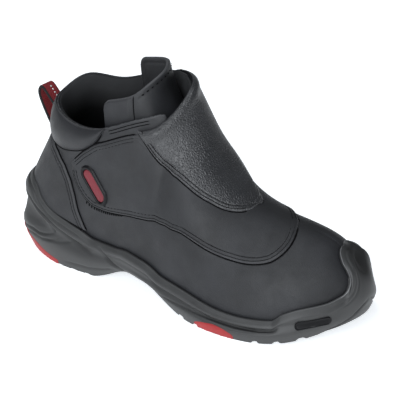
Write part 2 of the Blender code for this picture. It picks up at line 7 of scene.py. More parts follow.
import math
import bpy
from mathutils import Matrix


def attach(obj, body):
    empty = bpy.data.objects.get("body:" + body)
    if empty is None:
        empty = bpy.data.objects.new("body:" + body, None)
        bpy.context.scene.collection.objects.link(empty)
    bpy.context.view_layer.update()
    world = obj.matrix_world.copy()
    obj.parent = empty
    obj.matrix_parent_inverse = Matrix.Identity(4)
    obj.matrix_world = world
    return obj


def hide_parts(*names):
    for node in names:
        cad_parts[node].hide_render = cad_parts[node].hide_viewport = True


bl_info = {
    "name": "Welding boot",
    "version": (1, 0, 0),
    "blender": (4, 5, 0),
    "location": "View3D > Sidebar > Boot",
    "description": "Builds the leather, rubber, stitching and stage of a welding boot on its frame",
    "category": "Object",
}

import bmesh
import bpy
import numpy as np
from mathutils import Matrix, Vector
from mathutils.kdtree import KDTree

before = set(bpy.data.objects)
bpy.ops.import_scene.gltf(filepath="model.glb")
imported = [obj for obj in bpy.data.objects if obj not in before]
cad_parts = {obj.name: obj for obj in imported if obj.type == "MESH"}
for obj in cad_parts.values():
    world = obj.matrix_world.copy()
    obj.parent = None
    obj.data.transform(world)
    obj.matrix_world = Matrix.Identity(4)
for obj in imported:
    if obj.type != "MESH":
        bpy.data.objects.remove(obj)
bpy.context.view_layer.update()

MM = 0.001
WELD = 0.00001
# The point of the form that stands on the frame's origin
STANDS_ON = np.array([147.57, -2.0, 0.0])

# Thickness of the upper's leather, and height of a sewn panel's front above it
WALL = 2.2
OVERLAY = 2.0
# The outer side of the boot, and the inner side, which mirrors its stations
SIDES = (False, True)

# Last: the foot line is the wall's lower edge, the top line is the instep ridge or the collar.
# rise and bulge place the wall's lower handle; spread, drop and reach (towards the toe) its upper handle.
LAST_COLUMNS = (
    "foot_x outer inner foot_z top_x top_y top_half top_outer top_inner rise bulge spread drop reach".split()
)
LAST = {
    "heel_back": (8, 0, 0, 26, 35, 0, 0, 129, 129, 40, 8, -7, 34, 0),
    "heel_corner": (18, -23, 23, 26, 42, 0, 20, 126, 135, 40, 8, -6, 34, 0),
    "heel_side": (50, -33, 33, 25, 63, 0, 33, 121, 132, 36, 7, -2, 34, 0),
    "waist": (86, -34, 31, 23, 92, 0, 36, 121, 142, 36, 6, 0, 34, 0),
    "shank": (114, -37, 29, 21, 119, 0, 34, 132, 149, 36, 5, 2, 32, 0),
    "collar_front": (131, -40, 29, 19, 136, 0, 27, 138, 152, 38, 4, 6, 32, 0),
    "rim_front": (145, -42, 30, 17, 146, -1, 16, 144, 156, 41, 4, 12, 27, 2),
    "throat": (159, -45, 33, 14, 148, 0, 0, 154, 154, 46, 4, 19, 15, 4),
    "instep": (180, -47, 37, 12, 166, 0, 0, 121, 121, 42, 4, 25, 5, 3),
    "ball": (205, -49, 42, 10, 191, 2, 0, 89, 89, 35, 4, 25, 0, 0),
    "joint": (232, -46, 45, 10, 217, 4, 0, 75, 75, 31, 4, 26, 0, 0),
    "toe_side": (258, -36, 43, 13, 241, 6, 0, 71, 71, 29, 4, 22, 0, 0),
    "toe_corner": (280, -16, 32, 17, 261, 8, 0, 66, 66, 26, 4, 17, 0, 0),
    "toe_tip": (290, 9, 9, 20, 269, 9, 0, 63, 63, 23, 4, 14, 4, 0),
}

# The collar's inner side starts further back than its outer side, by station.
COLLAR_SETBACK = {4: 4, 5: 9, 6: 4}

# Sole: height and overhang of each line of the side wall, from the tread's edge up to the lip below the rim.
SOLE_COLUMNS = "tread_z tread_out swell_z swell_out crease_z crease_out lip_drop lip_out".split()
SOLE = {
    "heel_back": (7, 2, 22, 9.0, 43, 5.0, 9, 6.5),
    "heel_corner": (4, 3, 20, 9.0, 38, 5.0, 9, 6.5),
    "heel_side": (0, 5, 16, 8.0, 27, 5.0, 7, 6.0),
    "waist": (0, 4, 13, 7.0, 21, 5.0, 5, 5.5),
    "shank": (13, 3, 17, 5.0, 22, 4.5, 4, 5.0),
    "collar_front": (15, 3, 18, 5.0, 21, 4.5, 4, 5.0),
    "rim_front": (13, 3, 16, 5.5, 20, 4.5, 4, 5.0),
    "throat": (9, 4, 14, 6.0, 18, 4.5, 4, 5.0),
    "instep": (1, 5, 9, 7.0, 14, 4.5, 4, 5.0),
    "ball": (0, 6, 7, 8.0, 11, 5.0, 3, 5.5),
    "joint": (0, 6, 7, 8.0, 10, 5.0, 3, 5.5),
    "toe_side": (3, 5, 11, 8.0, 17, 5.5, 4, 5.5),
    "toe_corner": (10, 3, 17, 6.0, 24, 5.0, 5, 5.0),
    "toe_tip": (14, 3, 20, 5.0, 32, 5.0, 7, 5.0),
}

# The sole's rim behind the bumper, on both sides: station along the foot, share of the wall's height.
RIM_BEHIND = [
    (0, 0.33), (1, 0.31), (1.3, 0.29), (1.6, 0.22), (1.9, 0.17), (2.3, 0.135), (2.7, 0.1), (3, 0.07),
    (3.6, 0.08), (4.35, 0.105), (5.35, 0.1), (6.9, 0.075),
]
# Edges drawn on the wall, in the same way. Where the inner side differs, it has a table of its own.
EDGES = {
    "rim": RIM_BEHIND + [
        (10.6, 0.065), (10.85, 0.115), (11.2, 0.15), (11.9, 0.18), (12.1, 0.205), (12.25, 0.23),
        (12.35, 0.285), (12.42, 0.35), (12.48, 0.42), (12.54, 0.5), (12.6, 0.58), (12.66, 0.65),
        (12.72, 0.71), (12.8, 0.79), (12.9, 0.865), (13, 0.9),
    ],
    "rim_inner": RIM_BEHIND + [
        (10.4, 0.065), (10.8, 0.1), (11.2, 0.14), (11.6, 0.2), (11.8, 0.27), (11.95, 0.36), (12.08, 0.47),
        (12.2, 0.59), (12.32, 0.7), (12.45, 0.79), (12.6, 0.86), (12.8, 0.9), (13, 0.9),
    ],
    "opening": [
        (5.4, 1), (5.7, 0.975), (6.1, 0.87), (6.5, 0.79), (7, 0.74), (7.6, 0.76), (8.2, 0.84), (8.6, 0.92),
        (8.85, 1),
    ],
    "flap": [
        (4.43, 0.928), (4.62, 0.883), (4.84, 0.835), (5.08, 0.79), (5.32, 0.75), (5.75, 0.686),
        (6.25, 0.618), (6.75, 0.572), (7.23, 0.555), (7.55, 0.562), (7.85, 0.578), (8.32, 0.614),
        (8.68, 0.655), (8.96, 0.69), (9.33, 0.763), (9.52, 0.825), (9.63, 0.885), (9.67, 0.945), (9.68, 1),
    ],
    "flap_inner": [
        (3.7, 0.985), (4.1, 0.95), (4.5, 0.91), (4.85, 0.865), (5.26, 0.793), (5.75, 0.705), (6.27, 0.62),
        (6.75, 0.573), (7.23, 0.557), (7.55, 0.575), (7.85, 0.605), (8.3, 0.665), (8.7, 0.73), (9, 0.79),
        (9.3, 0.86), (9.5, 0.925), (9.68, 1),
    ],
    "saddle_low": [
        (2.28, 0.68), (2.45, 0.535), (2.65, 0.444), (2.85, 0.385), (3.1, 0.352), (3.55, 0.341), (4, 0.346),
        (4.55, 0.353), (5.15, 0.354), (5.86, 0.348), (6.7, 0.33), (7.27, 0.33), (7.8, 0.348), (8.25, 0.367),
        (8.66, 0.386), (9.34, 0.425), (9.92, 0.459), (10.37, 0.507), (10.53, 0.545), (10.68, 0.6),
        (10.8, 0.67), (10.88, 0.76), (10.915, 0.86), (10.93, 1),
    ],
    "saddle_low_inner": [
        (2.28, 0.68), (2.45, 0.535), (2.65, 0.444), (2.85, 0.386), (3.1, 0.355), (3.55, 0.347), (4, 0.357),
        (4.55, 0.368), (5.15, 0.371), (5.86, 0.353), (6.7, 0.335), (7.27, 0.35), (7.8, 0.385), (8.45, 0.43),
        (9.05, 0.5), (9.65, 0.62), (10.1, 0.74), (10.5, 0.86), (10.93, 1),
    ],
    "saddle_high": [
        (2.28, 0.68), (2.67, 0.816), (3.1, 0.888), (3.65, 0.896), (4.3, 0.89), (4.6, 0.874), (5, 0.82),
        (6, 0.79), (7, 0.71), (7.6, 0.73), (8.2, 0.81), (8.6, 0.9), (8.9, 1),
    ],
    "cuff_low": [
        (0, 0.72), (1.3, 0.705), (1.8, 0.725), (2.2, 0.765), (2.55, 0.808), (2.86, 0.862), (3.1, 0.92),
        (3.3, 1),
    ],
}
# How far the bumper's rim swings along the foot, in stations: the S above the toe.
RIM_SWING = [
    (0, 0), (12, 0), (12.25, 0.03), (12.35, 0.07), (12.42, 0.06), (12.48, -0.01), (12.54, -0.14),
    (12.6, -0.3), (12.66, -0.39), (12.72, -0.44), (12.8, -0.4), (12.9, -0.15), (13, 0),
]
# Front edge of the heel counter, from the sole's rim up to its top corner.
COUNTER_FRONT = [
    (2.8, 0.11), (2.73, 0.155), (2.58, 0.27), (2.47, 0.395), (2.31, 0.515), (2.06, 0.61), (1.7, 0.67),
    (1.4, 0.69),
]

# Tongue: top_x, top_y, top_z and low_x, low_y, low_z of its upper and lower edge, from its outer wing round
# the front to its inner wing.
TONGUE = {
    "outer_end": (91, -26, 139, 93, -27, 117),
    "outer_wing": (116, -25, 148, 119, -27, 118),
    "outer_turn": (126, -15, 157, 166, -20, 90),
    "front": (129, 0, 163, 187, 2, 84),
    "inner_turn": (122, 14, 164, 164, 19, 92),
    "inner_wing": (111, 23, 162, 117, 25, 122),
    "inner_end": (88, 24, 157, 90, 25, 130),
}

# Pull loop: x and z of the webbing's centre line, in the boot's middle plane, from the cuff to the counter.
LOOP = [
    (28.1, 110.5), (26.6, 114.5), (22.5, 119.5), (18, 124.5), (15, 125.8), (13, 123), (13.2, 118.5),
    (16.2, 111), (20, 103.5), (24.9, 94.5),
]
LOOP_WIDTH = 13
LOOP_THICKNESS = 2.2
# First and last of the white marks on the loop, and the way that they face
LOOP_MARKS = ((25.9, 0.8, 116.6), (18.8, 0.8, 124.9))
LOOP_FACING = (0.76, 0, 0.65)

BADGE = {"lower": (3.38, 0.425), "upper": (2.77, 0.66), "half_width": 4.1, "frame": 3.0}
PLATE = {"rear": (11.15, 17), "front": (11.95, 20), "half_width": 2.8}

# Lines moulded in the sole's side: station along the foot and height, then width and depth of the groove.
SOLE_LINES = {
    "heel_lip": ([(0, 52), (0.7, 51), (1.29, 46.5), (1.55, 41.5), (1.84, 36.5), (2.06, 32), (2.34, 27.5),
                  (2.71, 22.5), (3.1, 19)], 1.5, 1.6),
    "heel_line": ([(0, 18), (1, 20), (1.37, 22.5), (1.62, 21.6), (1.81, 22.7), (2.05, 26.6)], 0.75, 1.3),
    "heel_arc": ([(0, 14), (1, 16), (1.4, 18.6), (1.7, 18), (1.92, 19.2), (2.16, 23.5)], 0.7, 1.1),
    "heel_point": ([(2.05, 26.6), (1.96, 29.6), (1.9, 33)], 0.9, 0.9),
    "heel_sweep": ([(1.74, 19), (1.98, 19.5), (2.21, 21), (2.5, 24)], 1.0, 0.5),
    "heel_foot": ([(2.2, 5), (2.61, 6.2), (2.93, 6.7), (3.34, 9.7), (3.87, 14.9)], 0.9, 0.7),
    "waist_crease": ([(3.2, 28), (3.31, 26), (3.48, 21.2), (3.73, 18.4), (4.06, 16.6), (4.4, 15.5)],
                     1.1, 1.2),
    "side_groove": ([(6.3, 14), (6.87, 12.4), (7.47, 11.8), (7.98, 11.4), (8.38, 11), (9.09, 10.4),
                     (9.89, 9.8), (10.35, 10.6), (10.8, 12.6)], 0.9, 1.0),
    "bumper_foot": ([(11.7, 8), (12.11, 12), (12.48, 17), (12.79, 24), (13, 28)], 0.9, 1.0),
}
HEEL_GROOVES = [54, 67, 80]
BALL_GROOVES = [178, 192, 240, 254, 268]
LONG_GROOVES = [(32, 108, 0), (160, 262, -17), (160, 262, 17)]
GROOVE_WIDTH = 4
GROOVE_DEPTH = 4
# Upper edges of the red inserts on the side of the sole: station and height.
HEEL_RED = [(0, 26), (0.6, 23.5), (0.95, 19.5), (1.3, 14.5), (1.56, 10), (1.78, 6.5), (2.1, 3.5)]
BALL_RED = [(8.45, 1.5), (8.54, 4.6), (8.9, 7.6), (9.13, 8.3), (9.4, 7.4), (9.64, 4.6), (9.72, 1.5)]

STATIONS = list(LAST)
LAST_STATION = len(STATIONS) - 1
RING = 2 * LAST_STATION
THROAT = STATIONS.index("throat")

# Thickness of the sole's rim, and how much is added over the toe's inner side
RIM_THICKNESS = 3.0
RIM_CROWN = 2.2
# Hollow in the front of the toe bumper, where dark is painted shade added to its colour, and how far and
# wide the layers under it give way
TOE_HOLLOW = {"station": LAST_STATION + 0.28, "height": 55.0, "depth": 5.6, "width": 9.0, "dark": 4.5}
UNDER_HOLLOW = {"depth": 4.5, "width": 14.0}
# Window below the heel's lip: stations, and the height of its floor there
HEEL_WINDOW = ([0, 1.3, 1.9, 2.1], [24, 25, 28, 32])
# Columns of the sole crowd along the bumper's S: stations, and how closely they stand there
BUMPER_CROWD = ([0, 11.8, 12.3, 12.6, 12.8, 13], [1, 1, 2.5, 2.5, 1.3, 1])
# Painted highlight along the crest of the bumper's rim: stations, and shares of the pale colour mixed in
# there
RIM_HIGHLIGHT_SHARES = ([10.4, 11.2, 12.1, 12.35, 12.6, 12.85, 13], [0, 0.1, 0.14, 0.5, 0.35, 0.15, 0.04])
# Rows and columns of the sole's skin
TREAD_ROWS = 22
SIDE_STEPS = 15
SIDE_ROWS = 4 * SIDE_STEPS + 1
RING_COLUMNS = 760

# Hoops of the flap, from its rim to its front end: share of the way, station on the ridge, stations on the
# outer and the inner seam.
HOOPS = [
    (0, 7, 4.43, 3.7), (0.2, 7.55, 5.1, 4.7), (0.4, 8.1, 6.3, 6.1), (0.6, 8.7, 7.9, 7.8),
    (0.8, 9.3, 8.85, 8.85), (0.92, 9.55, 9.35, 9.35), (1, 9.68, 9.68, 9.68),
]
# Handles of the rim's hoop, from the seam forwards and from the throat aside, on the outer and inner side.
RIM_HANDLES = {False: ((17, 1, -2), (3, -13, -8)), True: ((13, -8, 7), (-4, 13, 5))}
# How far the hoops rise from the seam and stay level at the ridge, on the outer and the inner side
FLAP_RISE = (0.44, 0.5)
FLAP_LEVEL = (-0.4, -0.6)
# Lift of the flap's middle at the seam and on the ridge, radius of its rolled rim, and its front's height
FLAP_SEAM_LIFT = 1.3
FLAP_RIDGE_LIFT = 2.2
FLAP_ROLL = 4.2
FLAP_FRONT = 2.1

# Last stations of the cuff and the collar lining, the lining's lowest share, and how full both are
CUFF_END = 3.3
CUFF_PUFF = 4.4
LINING_END = 6.3
LINING_LOW = 0.42
LINING_PAD = 4.2
# Tongue: radius of its corners, width of its outer tab, and half its thickness
TONGUE_CORNER = 6.0
TONGUE_TAB = 29.0
TONGUE_HALF = 1.5
# How far the tongue's front stands back from a straight line, before it follows the instep
TONGUE_HOLLOW = 13.0
# Columns between two rows of the tongue's table
TONGUE_COLUMNS = 24
# Stations of the saddle, of the overlock beside the counter and of the seam along the collar
SADDLE_SPAN = (2.28, 10.93)
SADDLE_BACK_END = 8.9
OVERLOCK_SPAN = (2.8, 4.1)
OVERLOCK_STITCHES = 18
COLLAR_SEAM_SPAN = (3.35, 4.9)
COLLAR_SEAM_INSETS = (2.2, 4.4)
# Half the width of a furrow that stitches lie in
FURROW_WIDTH = 0.5
# A panel's edge counts as reached a little before its last point
EDGE_SLACK = 0.2

CAMERA = {
    "aim": (0.0062, 0.0076, 0.0648), "azimuth": 36, "elevation": 26, "roll": -0.5, "distance": 1.2,
    "lens": 147.8,
}
LIGHT_COLOUR = (0.93, 0.965, 1.0)
# Place, size and power of each soft box, and the place that they point at
LIGHTS = {
    "key": ((0.4, -1.45, 0.75), 1.0, 16.5),
    "overhead": ((-0.3, -0.4, 1.7), 0.9, 10.5),
    "front": ((1.05, -0.9, 0.6), 0.5, 2.6),
    "fill": ((0.35, -1.4, 0.12), 0.6, 2.2),
}
LIT_PLACE = (0, 0, 0.05)
SKY_STRENGTH = 0.22
FLOOR_GLOW = 0.7
FLOOR_HALF = 4


# Small helpers


def unit(vectors):
    """The same directions, one long."""
    return vectors / np.maximum(np.linalg.norm(vectors, axis=-1, keepdims=True), 1e-9)


def ramp(value):
    """From 0 to 1, and level past both."""
    return np.clip(value, 0, 1)


def eased(value):
    """From 0 to 1 with a soft start and end."""
    s = ramp(value)
    return s * s * (3 - 2 * s)


def run_along(line):
    """Distance of each point of a line from its start."""
    return np.concatenate([[0], np.cumsum(np.linalg.norm(np.diff(line, axis=0), axis=1))])


def points_at(line, run, at):
    """Points of a line at some places along its run."""
    return np.stack([np.interp(at, run, line[:, axis]) for axis in range(3)], -1)


def dense(line, spacing=0.3):
    """The same line with points at a small spacing."""
    run = run_along(line)
    return points_at(line, run, np.linspace(0, run[-1], max(int(run[-1] / spacing), 2)))


def there_and_back(half):
    """Stations along the outer side, then back along the inner side."""
    return np.concatenate([half, (RING - half)[::-1][1:]])


def bezier(start, first, second, end, t):
    """A cubic curve from start to end, drawn towards two handles."""
    w = 1 - t
    return w**3 * start + 3 * w * w * t * first + 3 * w * t * t * second + t**3 * end


# Form of the last and the sole


def ring_rows(table):
    """The table's rows in ring order: heel to toe along the outer side, then back along the inner side."""
    rows = [table[name] for name in STATIONS]
    return rows + rows[-2:0:-1]


def ring_spline(knots):
    """A closed cubic spline through one value for each station of the ring."""
    knots = np.asarray(knots, float)
    count = len(knots)
    bends = 4 * np.eye(count) + np.roll(np.eye(count), 1, 0) + np.roll(np.eye(count), -1, 0)
    curve = np.linalg.solve(bends, 6 * (np.roll(knots, 1) - 2 * knots + np.roll(knots, -1)))

    def value(u):
        u = np.asarray(u, float) % count
        low = np.floor(u).astype(int) % count
        high = (low + 1) % count
        s = u - np.floor(u)
        r = 1 - s
        bent = (r**3 - r) * curve[low] + (s**3 - s) * curve[high]
        return r * knots[low] + s * knots[high] + bent / 6

    return value


def column_splines(table, columns):
    rows = ring_rows(table)
    return {name: ring_spline([row[k] for row in rows]) for k, name in enumerate(columns)}


def two_sided(outer, inner):
    """A spline that takes one column of the last on the outer side and another on the inner side."""
    columns = [outer] * (LAST_STATION + 1) + [inner] * (LAST_STATION - 1)
    return ring_spline([row[LAST_COLUMNS.index(name)] for row, name in zip(ring_rows(LAST), columns)])


LAST_AT = column_splines(LAST, LAST_COLUMNS)
SOLE_AT = column_splines(SOLE, SOLE_COLUMNS)
FOOT_Y = two_sided("outer", "inner")


def collar_knots():
    """Points of the collar in ring order: along the outer side to the throat, back along the inner side."""
    rows = [dict(zip(LAST_COLUMNS, LAST[name])) for name in STATIONS[: THROAT + 1]]
    outer = [(row["top_x"], row["top_y"] - row["top_half"], row["top_outer"]) for row in rows]
    inner = [
        (row["top_x"] - COLLAR_SETBACK.get(k, 0), row["top_y"] + row["top_half"], row["top_inner"])
        for k, row in enumerate(rows)
    ]
    return np.array(outer + inner[-2:0:-1], float)


def ridge_knots():
    """Points of the instep ridge in ring order; behind the throat the line runs straight on."""
    columns = [LAST_COLUMNS.index(name) for name in ("top_x", "top_y", "top_outer")]
    rows = np.array([LAST[name] for name in STATIONS], float)[:, columns]
    for k in range(THROAT):
        rows[k] = rows[THROAT] + (rows[THROAT] - rows[THROAT + 1]) * (THROAT - k)
    return np.concatenate([rows, rows[-2:0:-1]])


# Steps and weights of the average that rounds the throat's corner
THROAT_FADE = [(-1, 1 / 9), (-0.5, 2 / 9), (0, 3 / 9), (0.5, 2 / 9), (1, 1 / 9)]
COLLAR_AT = [ring_spline(column) for column in collar_knots().T]
RIDGE_AT = [ring_spline(column) for column in ridge_knots().T]


def station_of(u):
    """Station number along the foot, the same on both sides: 0 at the heel, LAST_STATION at the toe."""
    u = np.asarray(u, float) % RING
    return np.minimum(u, RING - u)


def foot_line(u):
    return np.stack([LAST_AT["foot_x"](u), FOOT_Y(u), LAST_AT["foot_z"](u)], -1)


def top_line(u):
    """Collar edge behind the throat, instep ridge in front of it, where both sides meet."""
    u = np.asarray(u, float) % RING
    collar_u = np.where(u > LAST_STATION, u - (RING - 2 * THROAT), u)
    collar = np.stack([column(collar_u) for column in COLLAR_AT], -1)
    ridge = np.stack([column(u) for column in RIDGE_AT], -1)
    return np.where((station_of(u) < THROAT)[..., None], collar, ridge)


def soft_top_line(u, share):
    """The top line as the wall below it feels it: the throat's corner fades out down the wall."""
    reach = 1.7 * (1 - share) * np.exp(-(((station_of(u) - THROAT) / 1.3) ** 2))
    return sum(weight * top_line(u + reach * step) for step, weight in THROAT_FADE)


def outward(u):
    """Level unit vector out of the boot, square to the foot line in plan."""
    step = 1e-3
    run = foot_line(np.asarray(u) + step) - foot_line(np.asarray(u) - step)
    level = np.stack([run[..., 1], -run[..., 0], np.zeros_like(run[..., 0])], -1)
    return unit(level)


def wall(u, share):
    """Outer face of the upper: share 0 on the foot line, 1 on the top line."""
    u, share = np.broadcast_arrays(np.asarray(u, float), np.asarray(share, float))
    foot, top, out = foot_line(u), soft_top_line(u, share), outward(u)
    up, ahead = np.array([0.0, 0.0, 1.0]), np.array([1.0, 0.0, 0.0])
    low = foot + out * LAST_AT["bulge"](u)[..., None] + up * LAST_AT["rise"](u)[..., None]
    high = top + out * LAST_AT["spread"](u)[..., None] - up * LAST_AT["drop"](u)[..., None]
    high = high + ahead * LAST_AT["reach"](u)[..., None]
    return bezier(foot, low, high, top, share[..., None])


def wall_normal(u, share):
    u, share = np.broadcast_arrays(np.asarray(u, float), np.asarray(share, float))
    step = 1e-3
    inside = np.clip(share, step, 1 - 2 * step)
    along = wall(u + step, inside) - wall(u - step, inside)
    rising = wall(u, inside + step) - wall(u, inside - step)
    return unit(np.cross(along, rising))


def skin_normal(u, share):
    """Normal of the wall; on the ridge both sides share one."""
    u, share = np.broadcast_arrays(np.asarray(u, float), np.asarray(share, float))
    normal = wall_normal(u, share)
    ridge = (share > 1 - 1e-6) & (station_of(u) >= THROAT)
    shared = unit(normal + wall_normal(RING - u, share))
    return np.where(ridge[..., None], shared, normal)


def lifted(u, share, lift):
    """Points that stand off the wall."""
    return wall(u, share) + skin_normal(u, share) * np.asarray(lift)[..., None]


def share_at_height(u, height):
    """Share of the wall at which it reaches a height."""
    u, height = np.broadcast_arrays(np.asarray(u, float), np.asarray(height, float))
    low, high = np.zeros_like(u), np.ones_like(u)
    for _ in range(30):
        middle = (low + high) / 2
        below = wall(u, middle)[..., 2] < height
        low, high = np.where(below, middle, low), np.where(below, high, middle)
    return (low + high) / 2


def smooth_curve(table, at):
    """A curve through the table's points that never swings past them, read at some places."""
    x, y = (np.array(column, float) for column in zip(*table))
    step, slope = np.diff(x), np.diff(y) / np.diff(x)
    turn = np.zeros_like(x)
    same = slope[:-1] * slope[1:] > 0
    pair = slope[:-1] + slope[1:]
    turn[1:-1] = np.where(same, 2 * slope[:-1] * slope[1:] / np.where(same, pair, 1), 0)
    turn[0], turn[-1] = slope[0], slope[-1]
    at = np.clip(np.asarray(at, float), x[0], x[-1])
    k = np.clip(np.searchsorted(x, at, side="right") - 1, 0, len(x) - 2)
    t = (at - x[k]) / step[k]
    start = (1 + 2 * t) * (1 - t) ** 2 * y[k] + t * (1 - t) ** 2 * step[k] * turn[k]
    end = t * t * (3 - 2 * t) * y[k + 1] + t * t * (t - 1) * step[k] * turn[k + 1]
    return start + end


def on_inner_side(u):
    return np.asarray(u, float) % RING > LAST_STATION


def edge(name, u):
    """Share of the wall on a drawn edge."""
    station = station_of(u)
    share = smooth_curve(EDGES[name], station)
    if name + "_inner" in EDGES:
        share = np.where(on_inner_side(u), smooth_curve(EDGES[name + "_inner"], station), share)
    return share


def rim_place(u):
    """Station and share of the rim above a column of the sole's side."""
    swing = smooth_curve(RIM_SWING, station_of(u))
    return u + np.where(on_inner_side(u), 0, swing), edge("rim", u)


def sole_side(u, height, out):
    """A point at a height, standing out from the wall, or from the foot line where that is higher."""
    foot = foot_line(u)
    rise = height - foot[..., 2]
    share = share_at_height(u, height)
    level = np.concatenate([foot[..., :2], height[..., None]], -1)
    base = np.where((rise > 0)[..., None], wall(u, share), level)
    turn = ramp(rise / 10)[..., None]
    lean = (1 - turn) * outward(u) + turn * wall_normal(u, share)
    return base + unit(lean) * out[..., None]


def rim_thickness(u):
    over_toe = ramp((station_of(u) - 11.7) / 0.7)
    inner = ramp((np.asarray(u) % RING - LAST_STATION) / 0.4)
    return RIM_THICKNESS + RIM_CROWN * eased(over_toe * inner)


def sole_control(u):
    """Lines that carry the sole's side, from the tread's edge to the crest of the rim."""
    rim = wall(*rim_place(u))[..., 2]
    lip = rim - SOLE_AT["lip_drop"](u)
    crease = np.minimum(SOLE_AT["crease_z"](u), lip - 2)
    swell = np.minimum(SOLE_AT["swell_z"](u), crease - 2)
    heights = {"tread": np.maximum(SOLE_AT["tread_z"](u), 0), "swell": swell, "crease": crease, "lip": lip}
    lines = [sole_side(u, height, SOLE_AT[line + "_out"](u)) for line, height in heights.items()]
    return np.array(lines + [lifted(*rim_place(u), rim_thickness(u))])


def smooth_rows(points, steps):
    """More rows through a few control rows, on a curve through all of them."""
    count = len(points)
    rows = []
    for k in range(count - 1):
        before, here = points[max(k - 1, 0)], points[k]
        there, after = points[k + 1], points[min(k + 2, count - 1)]
        for step in range(steps):
            t = step / steps
            rows.append(
                here
                + 0.5 * t * (there - before)
                + t * t * (before - 2.5 * here + 2 * there - 0.5 * after)
                + t**3 * (1.5 * (here - there) + 0.5 * (after - before))
            )
    return np.array(rows + [points[-1]])


# Mesh tools


def add_surface(bm, points, flip=False, edge_distance=None, material=0, wear=None):
    """A grid laid over an array of points, columns first."""
    columns, rows = points.shape[0] - 1, points.shape[1] - 1
    made = bmesh.ops.create_grid(bm, x_segments=columns, y_segments=rows, size=0.5, calc_uvs=True)["verts"]
    placed = (points - STANDS_ON) * MM
    layer, highlight_layer = bm.verts.layers.float.get("edge"), bm.verts.layers.float.get("wear")
    for vert in made:
        column, row = round((vert.co.x + 0.5) * columns), round((vert.co.y + 0.5) * rows)
        vert.co = placed[column, row]
        if edge_distance is not None:
            vert[layer] = edge_distance[column, row]
        if wear is not None:
            vert[highlight_layer] = wear[column, row]
    faces = list({face for vert in made for face in vert.link_faces})
    for face in faces:
        face.material_index = material
    if flip:
        bmesh.ops.reverse_faces(bm, faces=faces)
    return made


def new_bmesh():
    bm = bmesh.new()
    bm.loops.layers.uv.new("UVMap")
    bm.verts.layers.float.new("edge")
    bm.verts.layers.float.new("wear")
    return bm


def piece(name, bm, materials, nodes=(), weld=True):
    """Turn a bmesh into a smooth object that rides on the boot."""
    if weld:
        bmesh.ops.remove_doubles(bm, verts=bm.verts, dist=WELD)
    for face in bm.faces:
        face.smooth = True
    mesh = bpy.data.meshes.new(name)
    bm.to_mesh(mesh)
    bm.free()
    for material in materials:
        mesh.materials.append(material)
    made = bpy.data.objects.new(name, mesh)
    bpy.context.scene.collection.objects.link(made)
    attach(made, "root")
    if nodes:
        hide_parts(*nodes)
    return made


def close_shell(bm):
    """Weld a skin, fill its open ends and turn its faces outwards."""
    bmesh.ops.remove_doubles(bm, verts=bm.verts, dist=WELD)
    bmesh.ops.holes_fill(bm, edges=bm.edges)
    bmesh.ops.recalc_face_normals(bm, faces=bm.faces)


def nearest(points, paths):
    """Distance from each point to the nearest of some dense lines, and its share of that line's length."""
    marks = np.concatenate(paths)
    shares = np.concatenate([np.linspace(0, 1, len(path)) for path in paths])
    tree = KDTree(len(marks))
    for index, mark in enumerate(marks):
        tree.insert(mark, index)
    tree.balance()
    found = np.array([tree.find(point)[1:] for point in points.reshape(-1, 3)])
    along = shares[found[:, 0].astype(int)]
    return found[:, 1].reshape(points.shape[:-1]), along.reshape(points.shape[:-1])


def distance_to(points, paths):
    return nearest(points, paths)[0]


def room_from(points, paths):
    """Distance of each point from a panel's edges, 0 along them."""
    return np.clip(distance_to(points, paths) - EDGE_SLACK, 0, None)


def dome(distance, radius):
    """Height of a round edge, from 0 on the edge to 1 at a distance of one radius."""
    s = ramp(distance / radius)
    return np.sqrt(s * (2 - s))


def dip(distance, width):
    """A soft trough, 1 in its middle."""
    return np.exp(-((distance / width) ** 2))


def packed(count, pull=0.85):
    """Places from 0 to 1, closer together at both ends."""
    b = np.linspace(0, 1, count + 1)
    return b - pull / (2 * math.pi) * np.sin(2 * math.pi * b)


def edge_line(name, first, last, mirrored=False, count=400):
    """A drawn edge as station and share, on the outer side or mirrored to the inner side."""
    u = np.linspace(first, last, count)
    u = RING - u if mirrored else u
    return u, edge(name, u)


def grid_normals(points):
    return unit(np.cross(np.gradient(points, axis=0), np.gradient(points, axis=1)))


def outline_of(points):
    """The four sides of a grid, as dense lines."""
    return [dense(line) for line in (points[0], points[-1], points[:, -1], points[:, 0])]


def twin_rows():
    """Distances of the twin rows of stitches from their panel's edge."""
    sizes = bpy.context.scene.boot_sizes
    return sizes.seam_inset / MM, (sizes.seam_inset + sizes.seam_gap) / MM


def furrows(away):
    """1 where the twin rows of stitches draw the leather in."""
    return sum(dip(away - row, FURROW_WIDTH) for row in twin_rows())


# Shader node groups and materials


def plug(tree, target, inputs):
    """Set a node's inputs, each to a value or to another node's output."""
    for key, value in inputs.items():
        if isinstance(value, bpy.types.NodeSocket):
            tree.links.new(value, target.inputs[key])
        else:
            target.inputs[key].default_value = value


def node(tree, kind, inputs=None, **settings):
    made = tree.nodes.new("ShaderNode" + kind)
    for key, value in settings.items():
        setattr(made, key, value)
    plug(tree, made, inputs or {})
    return made


def calc(tree, operation, *values, clamp=False):
    return node(tree, "Math", dict(enumerate(values)), operation=operation, use_clamp=clamp).outputs[0]


def ranged(tree, value, given=(0.0, 1.0), wanted=(0.0, 1.0), kind="LINEAR"):
    """A value carried from one range to another."""
    ends = dict(zip(("From Min", "From Max", "To Min", "To Max"), (*given, *wanted)))
    return node(tree, "MapRange", {"Value": value, **ends}, interpolation_type=kind).outputs["Result"]


def mixed(tree, factor, first, second, blend="MIX"):
    """Two colours mixed by a factor."""
    pair = [shade if isinstance(shade, bpy.types.NodeSocket) else (*shade, 1) for shade in (first, second)]
    inputs = {0: factor, 6: pair[0], 7: pair[1]}
    return node(tree, "Mix", inputs, data_type="RGBA", blend_type=blend).outputs[2]


